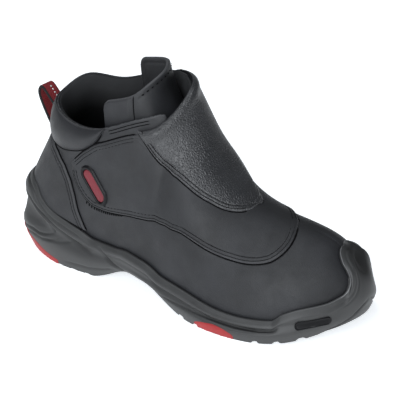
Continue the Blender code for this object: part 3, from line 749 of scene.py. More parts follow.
def toned(tree, colour, tone, low, high):
    """A colour that gets darker and lighter with a tone."""
    shades = [[min(part * k, 1) for part in colour] for k in (low, high)]
    return mixed(tree, ranged(tree, tone, (0.3, 0.7)), *shades)


def noise(tree, place, scale, detail, roughness=0.5):
    inputs = {"Vector": place, "Scale": scale, "Detail": detail, "Roughness": roughness}
    return node(tree, "TexNoise", inputs).outputs


def bumped(tree, height, depth):
    bump = node(tree, "Bump", {"Strength": 1.0, "Distance": depth * MM, "Height": height})
    return bump.outputs["Normal"]


def attribute(tree, name):
    return node(tree, "Attribute", attribute_name=name).outputs["Fac"]


def object_place(tree):
    return node(tree, "TexCoord").outputs["Object"]


def new_group(name, inputs, outputs):
    """An empty node group, what it is given and its end."""
    group = bpy.data.node_groups.new(name, "ShaderNodeTree")
    for label, value in inputs.items():
        kind = "NodeSocketVector" if isinstance(value, tuple) else "NodeSocketFloat"
        group.interface.new_socket(name=label, in_out="INPUT", socket_type=kind).default_value = value
    for label in outputs:
        group.interface.new_socket(name=label, in_out="OUTPUT", socket_type="NodeSocketFloat")
    return group, group.nodes.new("NodeGroupInput").outputs, group.nodes.new("NodeGroupOutput")


def leather_skin(name):
    """Pebbles, pores and slow changes of tone of a leather, from its pebble size."""
    inputs = {"Pebbles per metre": 700.0, "Pebble share": 0.5}
    group, given, end = new_group(name, inputs, ("Height", "Tone", "Sheen"))
    place = object_place(group)
    warp = noise(group, place, 180.0, 2.0)["Color"]
    bend = node(group, "VectorMath", {0: warp, 1: (0.0012,) * 3, 2: place}, operation="MULTIPLY_ADD")
    spots = {"Vector": bend.outputs["Vector"], "Scale": given["Pebbles per metre"], "Randomness": 1.0}
    cells = node(group, "TexVoronoi", spots, feature="DISTANCE_TO_EDGE")
    pebbles = ranged(group, cells.outputs["Distance"], (0.0, 0.35), kind="SMOOTHSTEP")
    pores = noise(group, place, 2600.0, 3.0)["Fac"]
    both = node(group, "Mix", {0: given["Pebble share"], 2: pores, 3: pebbles}, data_type="FLOAT")
    tone = noise(group, place, 28.0, 4.0, 0.6)["Fac"]
    sheen = noise(group, place, 90.0, 3.0)["Fac"]
    plug(group, end, {"Height": both.outputs[0], "Tone": tone, "Sheen": sheen})
    return group


def moulded_rubber(name):
    """The fine moulded texture of a rubber, and slow changes of its tone."""
    group, _, end = new_group(name, {}, ("Height", "Tone"))
    place = object_place(group)
    grit, cloud = noise(group, place, 1800.0, 2.0), noise(group, place, 45.0, 5.0, 0.65)
    plug(group, end, {"Height": grit["Fac"], "Tone": cloud["Fac"]})
    return group


def plain_weave(name):
    """Over and under of a plain weave, from its place and its threads per unit."""
    group, given, end = new_group(name, {"Place": (0.0, 0.0, 0.0), "Threads": 900.0}, ("Height",))
    size = node(group, "VectorMath", operation="SCALE")
    plug(group, size, {0: given["Place"], "Scale": given["Threads"]})
    parts = node(group, "SeparateXYZ", {0: size.outputs["Vector"]}).outputs
    x, y, z = (calc(group, "SINE", part) for part in parts)
    woven = calc(group, "MULTIPLY_ADD", z, x, calc(group, "MULTIPLY", x, y))
    plug(group, end, {"Height": ranged(group, woven, (-1.0, 1.0))})
    return group


GROUPS = {"Leather skin": leather_skin, "Moulded rubber": moulded_rubber, "Plain weave": plain_weave}


def grouped(tree, name, inputs=None):
    """What a shared node group puts out in a material, from the material's own values."""
    group = bpy.data.node_groups.get(name) or GROUPS[name](name)
    return node(tree, "Group", inputs, node_tree=group).outputs


# Colours mixed in as painted highlights: along the leather's cut edges, and along the crest of the bumper's
# rim
EDGE_HIGHLIGHT_COLOUR = (0.6, 0.6, 0.62)
RIM_HIGHLIGHT_COLOUR = (0.4, 0.4, 0.41)


def leather_finish(tree, shader, colour, pebbles, pebble_share, depth, roughness, specular):
    """Dyed leather with pebbles or fine pores, with a painted highlight that lightens it a little along its
    cut edges.
    """
    skin = grouped(tree, "Leather skin", {"Pebbles per metre": pebbles, "Pebble share": pebble_share})
    body = toned(tree, colour, skin["Tone"], 0.6, 1.4)
    # painted highlight: the colour is screened lighter where the edge attribute is below 1.2 mm
    edge_highlight = ranged(tree, attribute(tree, "edge"), (0.0, 1.2), (0.08, 0.0))
    plug(tree, shader, {
        "Base Color": mixed(tree, edge_highlight, body, EDGE_HIGHLIGHT_COLOUR, "SCREEN"),
        "Roughness": ranged(tree, skin["Sheen"], wanted=(roughness - 0.16, roughness + 0.16)),
        "Specular IOR Level": specular,
        "Normal": bumped(tree, skin["Height"], depth),
    })


def rubber_finish(tree, shader, colour, roughness, specular):
    """Moulded rubber: darkened by painted shade and dull in its hollows, lightened by a painted highlight
    along its rim.
    """
    mould = grouped(tree, "Moulded rubber")
    body = toned(tree, colour, mould["Tone"], 0.86, 1.12)
    # painted shade: the edge attribute carries the depth of grooves and hollows, which darkens the colour
    shade = ranged(tree, attribute(tree, "edge"), (0.0, 3.0), (0.0, 0.9))
    painted_shade = mixed(tree, shade, body, [part * 0.1 for part in colour])
    gloss = ranged(tree, mould["Tone"], wanted=(roughness - 0.1, roughness + 0.1))
    plug(tree, shader, {
        # painted highlight along the rim's crest, mixed over the painted shade
        "Base Color": mixed(tree, attribute(tree, "wear"), painted_shade, RIM_HIGHLIGHT_COLOUR),
        "Roughness": calc(tree, "MULTIPLY_ADD", shade, 0.5, gloss, clamp=True),
        "Specular IOR Level": specular,
        "Normal": bumped(tree, mould["Height"], 0.05),
    })


def textile_finish(tree, shader, colour, threads, specular):
    """A dull plain weave."""
    weave = grouped(tree, "Plain weave", {"Place": object_place(tree), "Threads": threads})["Height"]
    plug(tree, shader, {
        "Base Color": toned(tree, colour, weave, 0.7, 1.25),
        "Roughness": 0.95,
        "Specular IOR Level": specular,
        "Normal": bumped(tree, weave, 0.25),
    })


def lining_finish(tree, shader, colour):
    """Smooth lining, lit at the collar and dark in the depth of the boot."""
    skin = grouped(tree, "Leather skin", {"Pebbles per metre": 900, "Pebble share": 0.3})
    body = toned(tree, colour, skin["Tone"], 0.8, 1.2)
    deep = [part * 0.2 for part in bpy.context.scene.boot_colours.lining]
    shade = ranged(tree, attribute(tree, "edge"), (10.0, 27.0))
    plug(tree, shader, {
        "Base Color": mixed(tree, shade, body, deep),
        "Roughness": 0.8,
        "Specular IOR Level": 0.25,
        "Normal": bumped(tree, skin["Height"], 0.1),
    })


def webbing_finish(tree, shader, colour):
    """Webbing with a red middle and black edges, by its place across."""
    place = node(tree, "UVMap", uv_map="UVMap").outputs["UV"]
    across = node(tree, "SeparateXYZ", {0: place}).outputs["Y"]
    side = calc(tree, "ABSOLUTE", calc(tree, "SUBTRACT", across, 0.5))
    border = ranged(tree, side, (0.27, 0.3))
    size = node(tree, "Mapping", {"Vector": place, "Scale": (62.0, 13.0, 1.0)}, vector_type="POINT")
    weave = grouped(tree, "Plain weave", {"Place": size.outputs["Vector"], "Threads": 3.6})["Height"]
    plug(tree, shader, {
        "Base Color": mixed(tree, border, colour, bpy.context.scene.boot_colours.trim),
        "Roughness": 0.85,
        "Normal": bumped(tree, weave, 0.35),
    })


def floor_finish(tree, shader, colour):
    """Pale paint that glows a little, as a lit studio floor does."""
    speck = noise(tree, object_place(tree), 3.0, 2.0)["Fac"]
    plug(tree, shader, {
        "Base Color": toned(tree, colour, speck, 0.99, 1.0),
        "Roughness": 0.9,
        "Specular IOR Level": 0.1,
        "Emission Color": (*LIGHT_COLOUR, 1),
        "Emission Strength": FLOOR_GLOW,
    })


# Each use of a colour: the material's name, what makes it, and its values
FINISHES = {
    "leather": ("charcoal_leather", leather_finish, (1100, 0.35, 0.12, 0.56, 0.45)),
    "flap": ("pebbled_leather", leather_finish, (560, 0.85, 0.24, 0.42, 0.75)),
    "cuff": ("cuff_leather", leather_finish, (900, 0.5, 0.09, 0.5, 0.42)),
    "rubber": ("sole_rubber", rubber_finish, (0.5, 0.5)),
    "red_rubber": ("red_rubber", rubber_finish, (0.55, 0.25)),
    "badge": ("badge_enamel", rubber_finish, (0.5, 0.4)),
    "trim": ("black_trim", rubber_finish, (0.36, 0.2)),
    "thread": ("sewing_thread", textile_finish, (9000, 0.3)),
    # painted shade along the seams, in the same dark material as the finer stitches
    "edge_dye": ("edge_dye", textile_finish, (9000, 0.12)),
    "dots": ("white_thread", textile_finish, (9000, 0.3)),
    "lining": ("lining_cloth", textile_finish, (2600, 0.12)),
    "collar_lining": ("collar_lining", lining_finish, ()),
    "webbing": ("loop_webbing", webbing_finish, ()),
    "floor": ("floor_paint", floor_finish, ()),
}


def finish(use):
    """The material for a use, made the first time that it is asked for."""
    name, make, values = FINISHES[use]
    found = bpy.data.materials.get(name)
    if found:
        return found
    made = bpy.data.materials.new(name)
    made.use_nodes = True
    tree = made.node_tree
    make(tree, tree.nodes["Principled BSDF"], getattr(bpy.context.scene.boot_colours, use), *values)
    return made


# Pieces


def sole_columns(count):
    """Stations round the ring, spaced along the tread's outline and closer together along the bumper's S."""
    u = np.linspace(0, LAST_STATION, 2000)
    step = np.diff(run_along(foot_line(u)[:, :2]))
    crowd = np.interp(u, *BUMPER_CROWD)
    run = np.concatenate([[0], np.cumsum(step * (crowd[:-1] + crowd[1:]) / 2)])
    return there_and_back(np.interp(np.linspace(0, run[-1], count // 2 + 1), run, u))


def ring_normals(points):
    """Normals of a grid that closes on itself along its columns."""
    wrapped = np.concatenate([points[-2:-1], points, points[1:2]])
    return unit(np.cross(wrapped[2:] - wrapped[:-2], np.gradient(points, axis=1)))


def sole_path(u, height):
    """Points of the bare side of the sole at given heights."""
    rows = smooth_rows(sole_control(u), 24)
    return np.array([points_at(rows[:, k], rows[:, k, 2], z) for k, z in enumerate(height)])


def from_hollow(points, squash=1.0):
    """Distance from the middle of the hollow in the toe bumper."""
    centre = sole_path(np.array([TOE_HOLLOW["station"]]), np.array([TOE_HOLLOW["height"]]))[0]
    return np.linalg.norm((points - centre) * (1, 1, squash), axis=-1)


def hollow_dent(points):
    """How far the layers under the toe's hollow give way to it."""
    return UNDER_HOLLOW["depth"] * dip(from_hollow(points), UNDER_HOLLOW["width"])


def line_groove(points, table, width, depth):
    """The groove of a moulded line, which runs out at its ends but goes on round the back of the heel."""
    table = np.array(table, float)
    stops, along = np.linspace(0, 1, len(table)), np.linspace(0, 1, 160)
    at_u, at_z = (np.interp(along, stops, column) for column in table.T)
    away, share = nearest(points, [dense(sole_path(u, at_z)) for u in (at_u, RING - at_u)])
    fade = ramp(np.minimum(share if table[0, 0] else 1, 1 - share) / 0.15)
    return depth * fade * dip(away, width)


def sole_relief(points, u):
    """How far the moulded lines and hollows move the sole's side along its normal, and how much painted
    shade darkens them.
    """
    station, height = station_of(u)[:, None], points[..., 2]
    relief = -sum(line_groove(points, *line) for line in SOLE_LINES.values())
    below = np.array([run_along(column[::-1])[::-1] for column in points])
    fore = ramp((station - 3.3) / 0.5) * ramp((10.9 - station) / 0.4)
    relief += fore * (0.5 * dip(below - 3.2, 2.4) - 0.45 * dip(below - 7.2, 1.0))
    relief -= ramp((3.0 - station) / 0.5) * 0.9 * dip(below - 4.0, 0.9)
    from_rim = distance_to(points, [dense(points[:, -1])])
    relief -= ramp((station - 11.9) / 0.4) * 0.45 * (dip(from_rim - 3.6, 0.7) + dip(from_rim - 6.4, 0.7))
    hollow = dip(from_hollow(points, 0.75), TOE_HOLLOW["width"])
    relief = relief * (1 - hollow) - TOE_HOLLOW["depth"] * hollow
    lip = smooth_curve(SOLE_LINES["heel_lip"][0], station)
    floor = np.interp(station, *HEEL_WINDOW)
    relief -= ramp((lip - 2.5 - height) / 3) * ramp((height - floor) / 5) * ramp((1.95 - station) / 0.2)
    # the second value is painted shade: each groove's depth, and more in the toe's hollow
    return relief, np.clip(-relief, 0, None) + TOE_HOLLOW["dark"] * hollow


def lug_mask(x, y):
    """1 in the tread's grooves, 0 on its lugs."""

    def groove(away):
        return ramp((GROOVE_WIDTH / 2 + 0.4 - np.abs(away)) / 0.8)

    across = [groove(x - middle) for middle in HEEL_GROOVES + BALL_GROOVES]
    along = [groove(y - middle) * (x > first) * (x < last) for first, last, middle in LONG_GROOVES]
    return np.max(across + along, axis=0)


def sole_surface():
    """The sole's whole skin: from the middle of the tread, up the side, over the rim and down to the bed."""
    u = sole_columns(RING_COLUMNS)
    side = np.moveaxis(smooth_rows(sole_control(u), SIDE_STEPS), 0, 1)
    relief, shade = sole_relief(side, u)
    side = side + ring_normals(side) * relief[..., None]
    tread_edge = side[:, 0]
    middle = (tread_edge + tread_edge[::-1]) / 2
    q = np.linspace(0, 1, TREAD_ROWS + 1)[None, :-1, None]
    low = np.concatenate([middle[:, None] + (tread_edge - middle)[:, None] * q, side], 1)
    on_tread = np.arange(low.shape[1]) < TREAD_ROWS - 1
    cut = np.where(on_tread, 1.0, np.where(station_of(u)[:, None] < 4, 0.12, 0.5))
    notch = tread_edge[:, None, 2] + GROOVE_DEPTH * cut * lug_mask(low[..., 0], low[..., 1])
    low[..., 2] = np.maximum(low[..., 2], notch * (notch > tread_edge[:, None, 2] + 0.01))
    at, rim = rim_place(u)
    rows = [lifted(at, rim + 0.004, rim_thickness(u) * k) for k in (0.83, 0.4)]
    for k in (1, 0.92, 0.85, 0.78, 0.71, 0.64, 0.57, 0.5, 0.35, 0):
        under = u + (at - u) * max(1 - 8 * (1 - k), 0)
        rows.append(lifted(under, rim * k, 0.45 - hollow_dent(wall(under, rim * k))))
    bed = foot_line(u) - np.array([0, 0, 0.4])
    points = np.concatenate([low, np.stack(rows + [bed, (bed + bed[::-1]) / 2], 1)], 1)
    depth, wear = np.zeros(points.shape[:-1]), np.zeros(points.shape[:-1])
    crest = TREAD_ROWS + SIDE_ROWS
    # painted shade of the side's grooves and hollows, carried in the edge attribute
    depth[:, TREAD_ROWS:crest] = shade
    # painted highlight along the crest of the rim, strongest on the bumper's S
    wear[:, crest - 1] = np.interp(station_of(u), *RIM_HIGHLIGHT_SHARES)
    wear[:, crest] = 0.8 * wear[:, crest - 1]
    return u, points, depth, wear


def add_insert(bm, u, points, top_table, first_row, from_middle):
    """A red insert that lies on the sole, from a row of the tread up to a drawn edge on the side."""
    rows = 40
    skin, room = np.zeros((len(u), rows + 1, 3)), np.zeros((len(u), rows + 1))
    side = TREAD_ROWS - first_row
    for column, top in enumerate(smooth_curve(top_table, station_of(u))):
        path = points[column, first_row : TREAD_ROWS + SIDE_ROWS]
        run = run_along(path)
        last = np.interp(top, path[side:, 2], run[side:])
        at = last * packed(rows, 0.8)
        skin[column] = points_at(path, run, at)
        room[column] = last - at if from_middle else np.minimum(at, last - at)
    room = np.minimum(room, room_from(skin, [dense(skin[0]), dense(skin[-1])]))
    normal = grid_normals(skin)
    if from_middle:
        normal[:, 0] = (0, 0, -1)
    rise = dome(room, 1.0)[..., None]
    add_surface(bm, skin + normal * (0.6 * rise - 0.3))
    add_surface(bm, skin - normal * (0.5 * rise + 0.3), flip=True)


def make_sole():
    """The sole, and the red inserts that lie in its surface."""
    u, points, depth, wear = sole_surface()
    bm = new_bmesh()
    add_surface(bm, points, edge_distance=depth, wear=wear)
    piece("sole", bm, [finish("rubber")], ["sole_unit"])
    around = np.concatenate([u[:-1] - RING, u])
    wrapped = np.concatenate([points[:-1], points])
    chosen = np.abs(around) <= HEEL_RED[-1][0]
    bm = new_bmesh()
    add_insert(bm, around[chosen], wrapped[chosen], HEEL_RED, 10, False)
    piece("heel_red", bm, [finish("red_rubber")], ["heel_insert"])
    bm = new_bmesh()
    rear, front = BALL_RED[0][0], BALL_RED[-1][0]
    for low, high in ((rear, front), (RING - front, RING - rear)):
        chosen = (u >= low) & (u <= high)
        add_insert(bm, u[chosen], points[chosen], BALL_RED, 0, True)
    piece("ball_red", bm, [finish("red_rubber")], ["ball_insert"])


def make_upper():
    """The lasted leather shell, open at the collar, down the throat and underneath."""
    bm = new_bmesh()
    u = np.linspace(0, RING, 521)[:, None]
    share = edge("opening", u) * packed(56, 0.7)
    paths = [dense(wall(*edge_line("opening", 0, EDGES["opening"][-1][0], side))) for side in SIDES]
    paths.append(dense(wall(np.linspace(0, RING, 1200), 0)))
    away = room_from(wall(u, share), paths)
    dent = hollow_dent(wall(u, share))
    half = WALL / 2 * dome(away, 1.2)
    add_surface(bm, lifted(u, share, half - WALL / 2 - dent), edge_distance=away)
    add_surface(bm, lifted(u, share, -half - WALL / 2 - dent), flip=True, edge_distance=away + 5)
    piece("upper_shell", bm, [finish("leather")], ["upper"])


def make_lining():
    """The padded lining round the inside of the collar."""
    bm = new_bmesh()
    u = np.linspace(-LINING_END, LINING_END, 261)[:, None]
    b = packed(24, 0.6)
    share = LINING_LOW + (edge("opening", u) - 0.004 - LINING_LOW) * b
    ends = ramp((LINING_END - np.abs(u)) / 0.3)
    pad = LINING_PAD * np.sin(math.pi * ramp(b) ** 1.6) ** 0.7 * ends
    rest = -WALL - 0.25
    inside = lifted(u, share, rest - pad)
    below = np.linalg.norm(inside - inside[:, -1:], axis=-1)
    add_surface(bm, inside, flip=True, edge_distance=below)
    add_surface(bm, lifted(u, share, rest), edge_distance=below)
    made = piece("collar_lining", bm, [finish("collar_lining")])


def make_insole():
    """The foam sock that closes the bottom of the upper."""
    bm = new_bmesh()
    u = np.linspace(0, RING, 241)
    rim = foot_line(u) - outward(u) * (WALL + 1)
    middle = (rim + rim[::-1]) / 2
    q = np.linspace(0, 1, 15)[None, :, None]
    top = middle[:, None] + (rim - middle)[:, None] * q + np.array([0, 0, 4.0])
    top[..., 2] -= 1.5 * q[..., 0] ** 6
    under = middle[:, None] + (rim - middle)[:, None] * q[:, ::-1] + np.array([0, 0, 0.2])
    add_surface(bm, np.concatenate([top, under], 1), flip=True)
    piece("insole_sock", bm, [finish("lining")], ["insole"])


def add_overlay(bm, u, share, away, seam_away, radius):
    """Front and back of a leather panel on the upper, with a round edge and furrows along its seam."""
    front = OVERLAY * dome(away, radius) - 0.3 * furrows(seam_away)
    add_surface(bm, lifted(u, share, front), edge_distance=away)
    add_surface(bm, lifted(u, share, -0.4 * dome(away, 2)), flip=True, edge_distance=away)


def make_saddle():
    """The horseshoe panel over the instep, whose sides meet on the ridge."""
    bm = new_bmesh()
    start, front = SADDLE_SPAN
    ends = {"saddle_low": front, "saddle_high": SADDLE_BACK_END}
    paths = [dense(wall(*edge_line(name, start, end, side))) for name, end in ends.items() for side in SIDES]
    along = np.linspace(start, front, 231)
    for mirrored in SIDES:
        u = ((RING - along)[::-1] if mirrored else along)[:, None]
        low, high = edge("saddle_low", u), edge("saddle_high", u)
        share = low + (high - low) * packed(46)
        away = room_from(wall(u, share), paths)
        add_overlay(bm, u, share, away, away, 1.6)
    piece("saddle_panel", bm, [finish("leather")], ["saddle"])


def flap_half(s, t, mirrored):
    """One side of the flap, from its seam up to the ridge: hoops that lie down on the instep in front."""
    ridge_u = smooth_curve([row[:2] for row in HOOPS], s)
    seam_u = smooth_curve([(row[0], row[3 if mirrored else 2]) for row in HOOPS], s)
    u, top_u = (RING - seam_u, RING - ridge_u) if mirrored else (seam_u, ridge_u)
    share = edge("flap", u)
    seam, ridge = lifted(u, share, FLAP_SEAM_LIFT), lifted(ridge_u, 1.0, FLAP_RIDGE_LIFT)
    chord = ridge - seam
    normal = wall_normal(u, np.clip(share, 0, 0.97))
    rising = unit(chord - normal * np.sum(chord * normal, axis=1, keepdims=True))
    rising = rising * FLAP_RISE[mirrored] * np.linalg.norm(chord, axis=1, keepdims=True)
    level = chord * (0, FLAP_LEVEL[mirrored], 0)
    forward, aside = np.array(RIM_HANDLES[mirrored], float)
    near_rim = eased(1 - s / 0.62)[:, None]
    first = seam + rising + (forward - rising) * near_rim
    second = ridge + level + (aside - level) * near_rim
    hoop = bezier(seam[:, None], first[:, None], second[:, None], ridge[:, None], t[:, None])
    flat_u = u[:, None] + (top_u - u)[:, None] * t
    flat_share = share[:, None] + (1 - share)[:, None] * t
    flat = lifted(flat_u, flat_share, FLAP_SEAM_LIFT + (FLAP_RIDGE_LIFT - FLAP_SEAM_LIFT) * t)
    return hoop + (flat - hoop) * eased((s - 0.75) / 0.25)[:, None, None]


def flap_base():
    """The flap's middle, from its rim to its front end, and across from seam to seam over the ridge."""
    s, t = np.linspace(0, 1, 151), packed(70, 0.5)
    outer, inner = (flap_half(s, t, mirrored) for mirrored in SIDES)
    base = np.concatenate([outer, inner[:, ::-1][:, 1:]], 1)
    free = ramp(np.concatenate([t, t[::-1][1:]]) / 0.3)[None, :, None]
    for _ in range(260):
        base[1:-1] += 0.5 * free * ((base[:-2] + base[2:]) / 2 - base[1:-1])
    return base


def make_flap():
    """The pebbled flap: sewn down along its seam, with a thick rolled rim."""
    bm = new_bmesh()
    base = flap_base()
    normal = grid_normals(base)
    normal[-1] = normal[-3]
    away = room_from(base, [dense(base[:, 0]), dense(base[:, -1])])
    rim_away = room_from(base, [dense(base[0])])
    sewn = furrows(away) * ramp((rim_away - 3) / 2)
    front = FLAP_FRONT * dome(away, 1.6) + 1.5 * dip(rim_away - 4, 4) * dome(away, 6) - 0.4 * sewn
    back = -0.4 * dome(away, 2) - 0.8 * dip(rim_away - 3, 3) * dome(away, 6)
    middle = (front + back) / 2
    half = (front - middle) * dome(rim_away, FLAP_ROLL)
    add_surface(bm, base + normal * (middle + half)[..., None], edge_distance=away)
    add_surface(bm, base + normal * (middle - half)[..., None], flip=True, edge_distance=away, material=1)
    piece("flap_guard", bm, [finish("flap"), finish("lining")], ["instep_flap"])


def counter_grid():
    """Station and share over the heel counter, from the sole's rim up, between its front edges."""
    front_u, front_share = np.array(COUNTER_FRONT).T
    stops = np.linspace(0, 1, len(front_u))
    across, up = packed(150, 0.8) * 2 - 1, packed(60, 0.8)
    top = front_share[-1]
    u, share = np.zeros((len(across), len(up))), np.zeros((len(across), len(up)))
    for row, s in enumerate(up):
        edge_u, edge_share = np.interp(s, stops, front_u), np.interp(s, stops, front_share)
        edge_low = edge("rim", np.array(edge_u)) - 0.02
        edge_rise = max(edge_share - edge_low, 0) / (top - edge_low)
        u[:, row] = across * edge_u
        low = edge("rim", u[:, row]) - 0.02
        share[:, row] = low + (top - low) * ((1 - across**2) * s + across**2 * edge_rise)
    return u, share


def make_counter():
    """The leather overlay at the back of the heel."""
    bm = new_bmesh()
    u, share = counter_grid()
    points = wall(u, share)
    paths = outline_of(points)
    add_overlay(bm, u, share, room_from(points, paths), distance_to(points, paths[:2]), 1.5)
    piece("counter_panel", bm, [finish("leather")], ["heel_counter"])


def make_cuff():
    """The padded cuff: full in the middle, drawn in at its seams, and rolled over the collar's edge."""
    bm = new_bmesh()
    u = np.linspace(-CUFF_END, CUFF_END, 221)[:, None]
    low = edge("cuff_low", u)
    b = packed(34, 0.8)
    share = low + (1 - low) * b
    fade = np.sqrt(ramp(1 - (np.abs(u) / CUFF_END) ** 4))
    puff = (1.0 + CUFF_PUFF * fade) * np.sin(math.pi * b) ** 0.62
    crease = 0.25 * np.sin(u * 5.0) * dip(b - 0.5, 0.22) * fade
    # the puff stands in for the distance from the edge, so the painted edge highlight runs along the cuff's
    # thin edges
    add_surface(bm, lifted(u, share, 0.2 + puff + crease), edge_distance=puff)
    add_surface(bm, lifted(u, share, 0.2 - 0.3 * np.sin(math.pi * b)), flip=True)
    made = piece("cuff_pad", bm, [finish("cuff")], ["collar_cuff"])


def tongue_sheet():
    """Middle of the tongue from lower to upper edge, with round corners, and the run from its outer end."""
    table = smooth_rows([np.array(row, float) for row in TONGUE.values()], TONGUE_COLUMNS)
    top, low = table[:, :3], table[:, 3:]
    run = run_along(top)
    end = np.clip(TONGUE_CORNER - np.minimum(run, run[-1] - run), 0, TONGUE_CORNER)
    trim = TONGUE_CORNER - np.sqrt(TONGUE_CORNER**2 - end**2)
    cut = (trim / np.linalg.norm(top - low, axis=1))[:, None]
    b = cut / 2 + (1 - 1.5 * cut) * packed(44, 0.8)
    points = low[:, None] + (top - low)[:, None] * b[..., None]
    middle = dip(np.linspace(-3, 3, len(table)), 1.3)[:, None]
    points[..., 0] -= TONGUE_HOLLOW * 4 * b * (1 - b) * middle
    return points, run


def make_tongue():
    """The wrapped tongue, with a sewn border and a tab on its outer wing."""
    bm = new_bmesh()
    points, run = tongue_sheet()
    normal = grid_normals(points)
    away = room_from(points, outline_of(points))
    half = TONGUE_HALF * dome(away, 1.7)
    sewn = 0.4 * dip(away - 4.0, 0.6) * (run > TONGUE_TAB + 4)[:, None]
    tab = (ramp(TONGUE_TAB - run) - 0.5 * dip(run - TONGUE_TAB + 2.5, 0.6))[:, None] * dome(away, 2.0)
    add_surface(bm, points + normal * (half - TONGUE_HALF - sewn + tab)[..., None], edge_distance=away)
    add_surface(bm, points + normal * (sewn - TONGUE_HALF - half)[..., None], flip=True, edge_distance=away)
    piece("tongue_wrap", bm, [finish("leather")], ["tongue"])


def make_gusset():
    """The soft textile between the tongue and the flap."""
    bm = new_bmesh()
    points, _ = tongue_sheet()
    count = 4 * TONGUE_COLUMNS + 1
    inner = points[TONGUE_COLUMNS : TONGUE_COLUMNS + count, 16]
    outer = lifted(there_and_back(np.linspace(5.6, THROAT, count // 2 + 1)), 0.86, -0.5)
    t = np.linspace(0, 1, 13)
    sheet = outer[:, None] + (inner - outer)[:, None] * t[:, None]
    sheet[..., 2] -= 5 * np.sin(math.pi * t) + 0.7 * np.sin(np.arange(count) * 0.9)[:, None] * t
    add_surface(bm, sheet)
    add_surface(bm, sheet - np.array([0, 0, 0.8]), flip=True)
    piece("tongue_gusset", bm, [finish("lining")])


def add_ball(bm, centre, turn, half_sizes, subdivisions):
    """A small ball, turned and drawn out to its half sizes."""
    size = Matrix.Diagonal((*(half * MM for half in half_sizes), 1))
    place = Matrix.Translation(Vector((centre - STANDS_ON) * MM))
    bmesh.ops.create_icosphere(bm, subdivisions=subdivisions, radius=1, matrix=place @ turn @ size)


def make_loop():
    """The webbing loop at the heel, with five white marks."""
    bm = new_bmesh()
    path = smooth_rows([np.array(row, float) for row in LOOP], 8)
    run = unit(np.gradient(path, axis=0))
    rows = 24
    y = (packed(rows, 0.85) - 0.5) * LOOP_WIDTH
    half = LOOP_THICKNESS / 2 * dome(LOOP_WIDTH / 2 - np.abs(y), 1.0)
    taper = dome(np.minimum(np.arange(len(path)), np.arange(len(path))[::-1]), 1.5)
    for sign in (1, -1):
        points = np.zeros((len(path), rows + 1, 3))
        offset = sign * half * taper[:, None]
        points[..., 0] = path[:, None, 0] + run[:, None, 1] * offset
        points[..., 1] = y
        points[..., 2] = path[:, None, 1] - run[:, None, 0] * offset
        add_surface(bm, points, flip=sign < 0)
    close_shell(bm)
    piece("loop_strap", bm, [finish("webbing")], ["pull_loop"])
    bm = new_bmesh()
    first, last = (np.array(mark) for mark in LOOP_MARKS)
    facing = np.array(LOOP_FACING)
    turn = Vector(facing).to_track_quat("Z", "Y").to_matrix().to_4x4()
    for k in range(5):
        add_ball(bm, first + (last - first) * k / 4 + facing * 0.45, turn, (0.75, 0.75, 0.35), 2)
    piece("loop_dots", bm, [finish("dots")], weld=False)


def capsule(half_length, radius, count=64):
    """Outline of a bar with round ends, as distances along and across it."""
    turn = 2 * math.pi * (np.arange(count + 1) + 0.5) / count
    return np.copysign(half_length, np.cos(turn)) + radius * np.cos(turn), radius * np.sin(turn)


def add_capsules(bm, place, half_length, rings, count=64):
    """A closed skin over capsules of some radius and lift."""
    points = [place(*capsule(half_length, radius, count), lift) for radius, lift in rings]
    add_surface(bm, np.stack(points, 1))
    close_shell(bm)


def wall_patch(lower, upper):
    """Millimetres along and across a line on the wall, turned into places on the wall."""
    middle = (np.array(lower) + np.array(upper)) / 2
    step = 1e-3
    by_u = (wall(middle[0] + step, middle[1]) - wall(middle[0] - step, middle[1])) / (2 * step)
    by_share = (wall(middle[0], middle[1] + step) - wall(middle[0], middle[1] - step)) / (2 * step)
    line = wall(*upper) - wall(*lower)
    length = np.linalg.norm(line)
    line /= length
    across = np.cross(wall_normal(*middle), line)
    slope = np.linalg.inv([[by_u @ line, by_share @ line], [by_u @ across, by_share @ across]])

    def place(along, aside, lift):
        u = middle[0] + slope[0, 0] * along + slope[0, 1] * aside
        share = middle[1] + slope[1, 0] * along + slope[1, 1] * aside
        return lifted(u, share, lift)

    return place, length / 2


def make_badge():
    """A bare red badge with a soft crown, set in a raised black frame."""
    place, half_length = wall_patch(BADGE["lower"], BADGE["upper"])
    radius, width = BADGE["half_width"], BADGE["frame"]
    half_length -= radius
    low = OVERLAY - 0.4
    crown = [(1.0, 0.0), (1.0, 0.8), (0.94, 1.15), (0.8, 1.3), (0.4, 1.45), (0.02, 1.5)]
    bm = new_bmesh()
    add_capsules(bm, place, half_length, [(radius * k, low + rise) for k, rise in crown])
    piece("badge_face", bm, [finish("badge")], ["badge"])
    roll = [(0.2, 0.0), (0.2, 1.6), (0.45 * width, 2.0), (0.8 * width, 1.7), (width, 0.6),
            (width + 0.5, 0.0), (0.2, 0.0)]
    bm = new_bmesh()
    add_capsules(bm, place, half_length, [(radius + grow, low + rise) for grow, rise in roll])
    piece("badge_rim", bm, [finish("trim")], ["badge_frame"])


def make_plate():
    """A bare black plate with a raised edge on the outer side of the bumper."""
    rear, front = np.array(PLATE["rear"]), np.array(PLATE["front"])
    ends = sole_path(*np.array([rear, front]).T)
    length = np.linalg.norm((ends[1] - ends[0])[:2])

    def place(along, aside, lift):
        u, height = rear[:, None] + (front - rear)[:, None] * (along / length + 0.5)
        return sole_path(u, height + aside) + outward(u) * lift

    rings = [(1.0, 0.0), (1.0, 0.9), (0.9, 1.2), (0.78, 1.0), (0.7, 0.7), (0.35, 0.75), (0.02, 0.75)]
    radius = PLATE["half_width"]
    bm = new_bmesh()
    add_capsules(bm, place, length / 2 - radius, [(radius * k, lift) for k, lift in rings], 48)
    piece("bumper_plate", bm, [finish("trim")], ["side_plate"])


